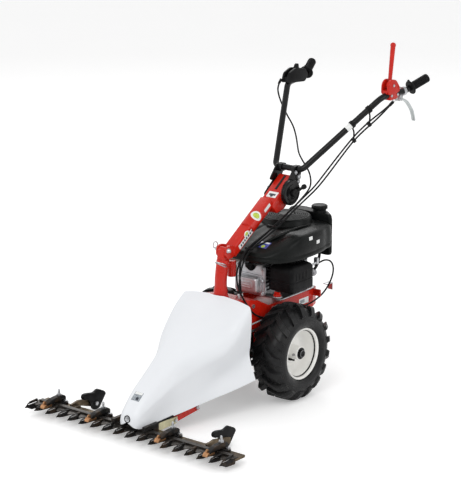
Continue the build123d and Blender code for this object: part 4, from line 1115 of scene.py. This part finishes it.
def levers():
    case = [(481, 990), (483, 1027), (500, 1041), (527, 1037), (551, 1008), (547, 975)]
    bm = side_prism(rounded(case, 10, 5), 190.4, 195.6)
    side_prism(rounded(case, 10, 5), 214, 223.6, bm)
    side_prism([(482, 990), (482.4, 1003), (549, 1003), (547, 976)], 195, 214.6, bm)
    side_prism(rounded([(494, 967), (494, 999), (544, 999), (540, 969)], 6, 4), 192.4, 221.6, bm)
    piece("lever_case", bm, slots["lever_housing"], "handles", ("lever_housing",), bevel=1.8)
    spots = [((223.6, y, z), (1, 0, 0), 7, 3, 5) for y, z in ((512, 1018), (500, 984), (536, 984))]
    bolt_set("lever_case_screws", spots, body="handles")
    hub, ball = Vector((205, 512, 1018)), Vector((201, 535, 1154))
    bm = rod(-6.6, 6.6, 12, facing(hub, (1, 0, 0)), 32)
    line = [hub.lerp(ball, k / 20) for k in range(21)]
    tube(line, lambda t: 6.4 + 2.4 * t, 24, into=bm)
    profile = [(-10 * math.cos(math.radians(a)), 10 * math.sin(math.radians(a))) for a in range(0, 181, 15)]
    lathe(profile, facing(ball, ball - hub), 32, into=bm)
    piece("blade_lever_red", bm, slots["blade_lever"], "blade_control", ("blade_lever",))

    # bent flat lever that works the clutch
    spine = [(206, 566, 963), (205, 590, 957), (204, 618, 944), (201, 644, 922), (200, 662, 900)]
    spine.append((199, 676, 866))
    line = smooth_line(spine, 5)
    sections = []
    for i, point in enumerate(line):
        ahead = (line[min(i + 1, len(line) - 1)] - line[max(i - 1, 0)]).normalized()
        normal = Vector((1, 0, 0)).cross(ahead).normalized()
        half = 8.2 - 0.8 * i / len(line)
        ring = rounded(rect(-half, half, -3, 3), 2.4, 3)
        sections.append([point + Vector((x, 0, 0)) + normal * y for x, y in ring])
    bm = loft(sections)
    rod(-6, 6, 9, facing((206, 566, 963), (1, 0, 0)), 28, bm)
    piece("clutch_lever_bent", bm, slots["clutch_lever"], "clutch_control", ("clutch_lever",))

    case = [(451, 985), (463, 1019), (500, 1033), (555, 1025), (573, 1000), (555, 977)]
    bm = side_prism(rounded(case, 9, 5), -222, -213.6)
    side_prism(rounded(case, 9, 5), -200.4, -190.2, bm)
    side_prism([(455, 986), (461, 1004), (560, 1004), (556, 978)], -214, -200, bm)
    piece("throttle_case", bm, slots["throttle_box"], "handles", ("throttle_box",), bevel=1.8)
    bm = rod(-6, 6, 12, facing((-207, 520, 1024), (1, 0, 0)), 32)
    tab = [(512, 1026), (515, 1040), (521, 1045), (530, 1044), (533, 1024)]
    side_prism(rounded(tab, 3.5, 4), -212, -202, bm)
    piece("throttle_thumb", bm, slots["throttle_lever"], "throttle_control", ("throttle_lever",), bevel=1.0)


yoke()
grips()
levers()


# ---- control cables -------------------------------------------------------------------------------------
# The places that each cable passes, from its drive up to its lever. The throttle's cable comes in two
# parts, and THROTTLE_REAR is the one that goes round to the carburettor.
CLUTCH = [(54, -118, 366), (52, -122, 416), (48, -122, 456), (42, -108, 494), (39, -76, 525)]
CLUTCH += [(41, -24, 545), (47, 34, 566), (56, 92, 596), (63, 146, 626), (66, 196, 650), (76, 256, 684)]
CLUTCH += [(94, 290, 728), (120, 338, 790), (146, 384, 848), (166, 416, 882), (184, 452, 910)]
CLUTCH += [(198, 498, 934), (206, 534, 956)]
BLADE = [(56, -138, 370.5), (58, -136, 400), (55, -130, 438), (50, -112, 478), (47, -80, 514)]
BLADE += [(50, -28, 537), (56, 30, 559), (64, 88, 588), (71, 142, 619), (75, 192, 644), (85, 252, 676)]
BLADE += [(105, 288, 720), (130, 334, 782), (154, 376, 838), (174, 410, 872), (194, 446, 902)]
BLADE += [(208, 484, 932), (216, 520, 958)]
THROTTLE = [(33, -84, 508), (35, -30, 533), (40, 28, 556), (47, 86, 586), (54, 140, 616)]
THROTTLE += [(58, 190, 640), (69, 240, 680), (68, 248, 706), (58, 250, 738), (30, 252, 768)]
THROTTLE += [(-12, 282, 785), (-54, 330, 800), (-98, 380, 820), (-142, 420, 845), (-180, 436, 872)]
THROTTLE += [(-204, 436, 908), (-218, 432, 945), (-222, 432, 975), (-218, 448, 997)]
THROTTLE_REAR = [(33, -84, 508), (38, -124, 470), (54, -146, 430), (74, -148, 392), (85, -128, 352)]
THROTTLE_REAR += [(84, -94, 314), (83.8, -50, 288), (83.6, 10, 276), (83.6, 70, 270), (84, 130, 268)]
THROTTLE_REAR += [(84.5, 190, 270), (90, 240, 278), (98, 286, 298), (103, 322, 334), (105, 338, 374)]
THROTTLE_REAR += [(107, 322, 408), (109, 286, 424), (110, 250, 424), (110, 222, 418)]


def bending_cable(name, points, instead=()):
    """A cable from the frame up to the handlebar, on no body, with its place baked into its mesh."""
    obj = piece(name, tube(spline_points(points), 3.0, 14), "cable_black", None, instead)
    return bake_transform(obj)


def cables():
    bending_cable("clutch_cable", CLUTCH, ("cables_upper", "cables_lower"))
    bending_cable("blade_cable", BLADE)
    bending_cable("throttle_cable", THROTTLE)
    piece("throttle_cable_low", tube(spline_points(THROTTLE_REAR), 3.0, 14), "cable_black")
    bm = bmesh.new()
    for at, way in ((CLUTCH[0], (0, 0.05, 1)), (BLADE[0], (0.05, 0, 1))):
        lathe([(-1, 0), (-1, 4.6), (16, 4.6), (18, 3.4), (18, 0)], facing(at, way), 20, into=bm)
    tip, before = Vector(THROTTLE_REAR[-1]), Vector(THROTTLE_REAR[-2])
    rod(-2, 12, 4.2, facing(tip, before - tip), 20, bm)
    piece("cable_ferrules", bm, "zinc")
    bm = bmesh.new()
    for points in (CLUTCH, BLADE, THROTTLE):
        tip, before = Vector(points[-1]), Vector(points[-2])
        lathe([(-1, 0), (-1, 5), (14, 4.6), (20, 3.4), (20, 0)], facing(tip, before - tip), 20, into=bm)
    piece("cable_ends", bm, "cable_black", "handles")
    bm = tube([(206, 534, 956), (205.6, 552, 957), (205, 572, 958)], 1.2, 10)
    tube([(216, 520, 957), (216, 519, 963), (216, 518, 970)], 2.0, 10, into=bm)
    piece("cable_wires", bm, "zinc", "handles")
    # straps that tie the cables to the bar
    axis = (ARM_BEND - ARM_FOOT).normalized()
    bm = bmesh.new()
    for on_bar, held in (((149, 372, 895), (150, 381, 838)), ((180, 426, 943), (178, 432, 890))):
        centre = Vector(on_bar)
        lathe([(-6, 11), (-6, 13.6), (6, 13.6), (6, 11)], facing(centre, axis), 32, closed=True, into=bm)
        low = Vector(held)
        sag = [centre + Vector((0, 2, -12)), centre.lerp(low, 0.5) + Vector((2, 3, 0))]
        sag.append(low + Vector((0, 0, -6)))
        tube(smooth_line(sag, 6), 3.0, 12, into=bm)
        lathe([(-5, 4), (-5, 10), (5, 10), (5, 4)], facing(low, axis), 24, closed=True, into=bm)
    piece("cable_straps", bm, slots["cable_clips"], "handles", ("cable_clips",))
    low, high = ARM_FOOT.lerp(ARM_BEND, 0.55), ARM_FOOT.lerp(ARM_BEND, 0.63)
    band = [(0, 10.7), (0, 11.0), ((high - low).length, 11.0), ((high - low).length, 10.7)]
    bm = lathe(band, facing(low, high - low), 32, closed=True)
    piece("bar_label", bm, slots["handlebar"], "handles", mat=white_vinyl)
    bm = bmesh.new()
    for y, z, x in ((-60, 525, 44), (60, 577, 52)):  # saddles on the column's flank
        block((24, x + 10), (y - 5, y + 5), (z - 4, z + 5), bm)
    piece("cable_saddles", bm, "black_plastic", bevel=1.6)


cables()


# ---- labels and small parts ---------------------------------------------------------------------------
def labels():
    shown = bpy.data.objects
    run = (HEAD - FOOT).normalized()
    rise = COLUMN.to_3x3() @ Vector((0, 1, 0))
    side, up = (1, 0, 0), (0, 0, 1)
    red, black = slots["column"], slots["shroud"]
    over, dot = {"lift": 0.7}, {"shape": "disc", "lift": 0.7}

    def along(distance, height):
        return FOOT + run * distance + rise * height + Vector((22, 0, 0))

    rows = [("column_strip", along(104, -3), (118, 16), white_vinyl, {})]
    for k in range(9):
        mark = (f"column_mark_{k + 1}", along(58 + 11.5 * k, -3), (6.5, 8), dark_vinyl)
        rows.append((*mark, {"lift": 0.7, "corner": 0.8}))
    rows += [
        ("column_round", along(100, 8.5), (28, 18), white_vinyl, {"shape": "disc", "lift": 0.5}),
        ("column_round_mark", along(100, 9.5), (15, 12), green_vinyl, {"shape": "disc", "lift": 0.8}),
        ("column_tag", along(232, 3), (36, 12), white_vinyl, {}),
    ]
    stickers(surface(shown["column_box"]), side, rise, red, rows)
    tilted = (rise + Vector((0.9, 0, 0))).normalized()
    spot = FOOT + run * 177 + tilted * 26.5
    stickers(surface(shown["column_sleeve"], shown["column_box"]), tilted, run, red, [
        ("sleeve_round", spot, (38, 34), white_vinyl, {"shape": "disc"}),
        ("sleeve_mark", spot, (24, 20), green_vinyl, dot),
    ])
    spot = Vector((2, 115, 674))
    stickers(surface(shown["column_head"]), rise, run, red, [
        ("head_label", spot, (40, 26), white_vinyl, {}),
        ("head_label_mark", spot, (26, 8), dark_vinyl, over),
        ("head_label_ring", spot - run * 6, (11, 9), dark_vinyl, {"shape": "disc", "lift": 0.9}),
    ])
    stickers(surface(nodes["deck"]), side, up, slots["deck"], [
        ("deck_label", (80, 196, 289), (54, 22), white_vinyl, {}),
        ("deck_label_mark", (80, 188, 289), (24, 12), grey_vinyl, over),
    ])
    shell = surface(cowl_shell)
    stickers(shell, side, up, black, [
        ("cowl_label_1", (165, 119, 545), (20, 12), white_vinyl, {"corner": 1}),
        ("cowl_label_2", (165, 163, 524), (20, 12), white_vinyl, {"corner": 1}),
    ])
    stickers(shell, (0, -0.35, 1), (0, 1, 0.3), black, [
        ("cowl_patch", (58, -4, 530), (44, 34), blue_vinyl, {}),
        ("cowl_patch_bar", (58, 6, 533), (38, 8), white_vinyl, {"lift": 0.7, "corner": 1}),
        ("cowl_patch_dot", (62, -12, 528), (14, 14), green_vinyl, dot),
    ])


def small_parts():
    line = spline_points([(88, -106, 279), (94, -80, 284), (97, -40, 288), (98, 12, 297)])
    piece("shift_rod", tube(line, 3.0, 12), "zinc")
    bm = block((80, 100), (308, 340), (324, 327))
    block((80, 100), (337, 340), (300, 326), bm)
    piece("rear_bracket", bm, "zinc", bevel=0.8)
    edge = [Vector((50, -614, 48)), Vector((62, -560, 54)), Vector((76, -502, 63))]
    piece("hood_lower_seal", tube(smooth_line(edge, 8), 3.4, 10), "belt_rubber")


labels()
small_parts()


# ---- stage, light and camera ------------------------------------------------------------------------
def stage():
    bm = bmesh.new()
    bmesh.ops.create_grid(bm, x_segments=2, y_segments=2, size=12)
    mesh = bpy.data.meshes.new("floor")
    bm.to_mesh(mesh)
    bm.free()
    floor = bpy.data.objects.new("floor", mesh)
    bpy.context.scene.collection.objects.link(floor)
    paint = material("floor_paint", (0.90, 0.90, 0.90), 0.7, vary=0.005, scale=2, bump=0.0)
    # the sweep is lit a little from within where the camera sees it, like a lightbox table
    tree = paint.node_tree
    path = tree.nodes.new("ShaderNodeLightPath")
    shader = tree.nodes["Principled BSDF"]
    fill(shader, Emission_Color=(1, 1, 1, 1))
    gain = tree.nodes.new("ShaderNodeMath")
    gain.operation = "MULTIPLY"
    gain.inputs[1].default_value = 0.3
    tree.links.new(path.outputs["Is Camera Ray"], gain.inputs[0])
    tree.links.new(gain.outputs[0], shader.inputs["Emission Strength"])
    floor.data.materials.append(paint)

    def area(name, at, goal, size, power):
        data = bpy.data.lights.new(name, "AREA")
        data.energy = power
        data.size = size
        lamp = bpy.data.objects.new(name, data)
        lamp.location = at
        lamp.rotation_euler = (Vector(goal) - Vector(at)).to_track_quat("-Z", "Y").to_euler()
        bpy.context.scene.collection.objects.link(lamp)

    area("key", (1.2, -3.6, 4.2), (0, 0, 0.4), 2.6, 68)
    area("side", (4.2, 0.8, 2.2), (0, 0, 0.5), 2.0, 22)
    area("back", (-3.0, 3.0, 3.4), (0, 0, 0.5), 2.6, 44)
    area("left", (-3.6, -2.4, 2.0), (0, 0, 0.4), 2.4, 18)
    world = bpy.data.worlds.new("studio")
    bpy.context.scene.world = world
    world.use_nodes = True
    sky = fill(world.node_tree.nodes["Background"], Color=(1, 1, 1, 1))
    # the room lights the machine softly, but shows white behind it
    nodes_of = world.node_tree.nodes
    path = nodes_of.new("ShaderNodeLightPath")
    gain = fill(nodes_of.new("ShaderNodeMapRange"), To_Min=0.69, To_Max=1.0)
    world.node_tree.links.new(path.outputs["Is Camera Ray"], gain.inputs["Value"])
    world.node_tree.links.new(gain.outputs["Result"], sky.inputs["Strength"])
    bpy.context.scene.view_settings.view_transform = "Standard"
    bpy.context.scene.view_settings.look = "None"


def camera():
    data = bpy.data.cameras.new("camera")
    data.sensor_width = 36
    data.lens = 149.19
    data.clip_end = 60
    cam = bpy.data.objects.new("camera", data)
    cam.location = (4.2059, -5.3301, 2.4013)
    look = Vector((-0.60421, 0.74985, -0.26954))
    cam.rotation_euler = look.to_track_quat("-Z", "Y").to_euler()
    bpy.context.scene.collection.objects.link(cam)
    bpy.context.scene.camera = cam


stage()
camera()
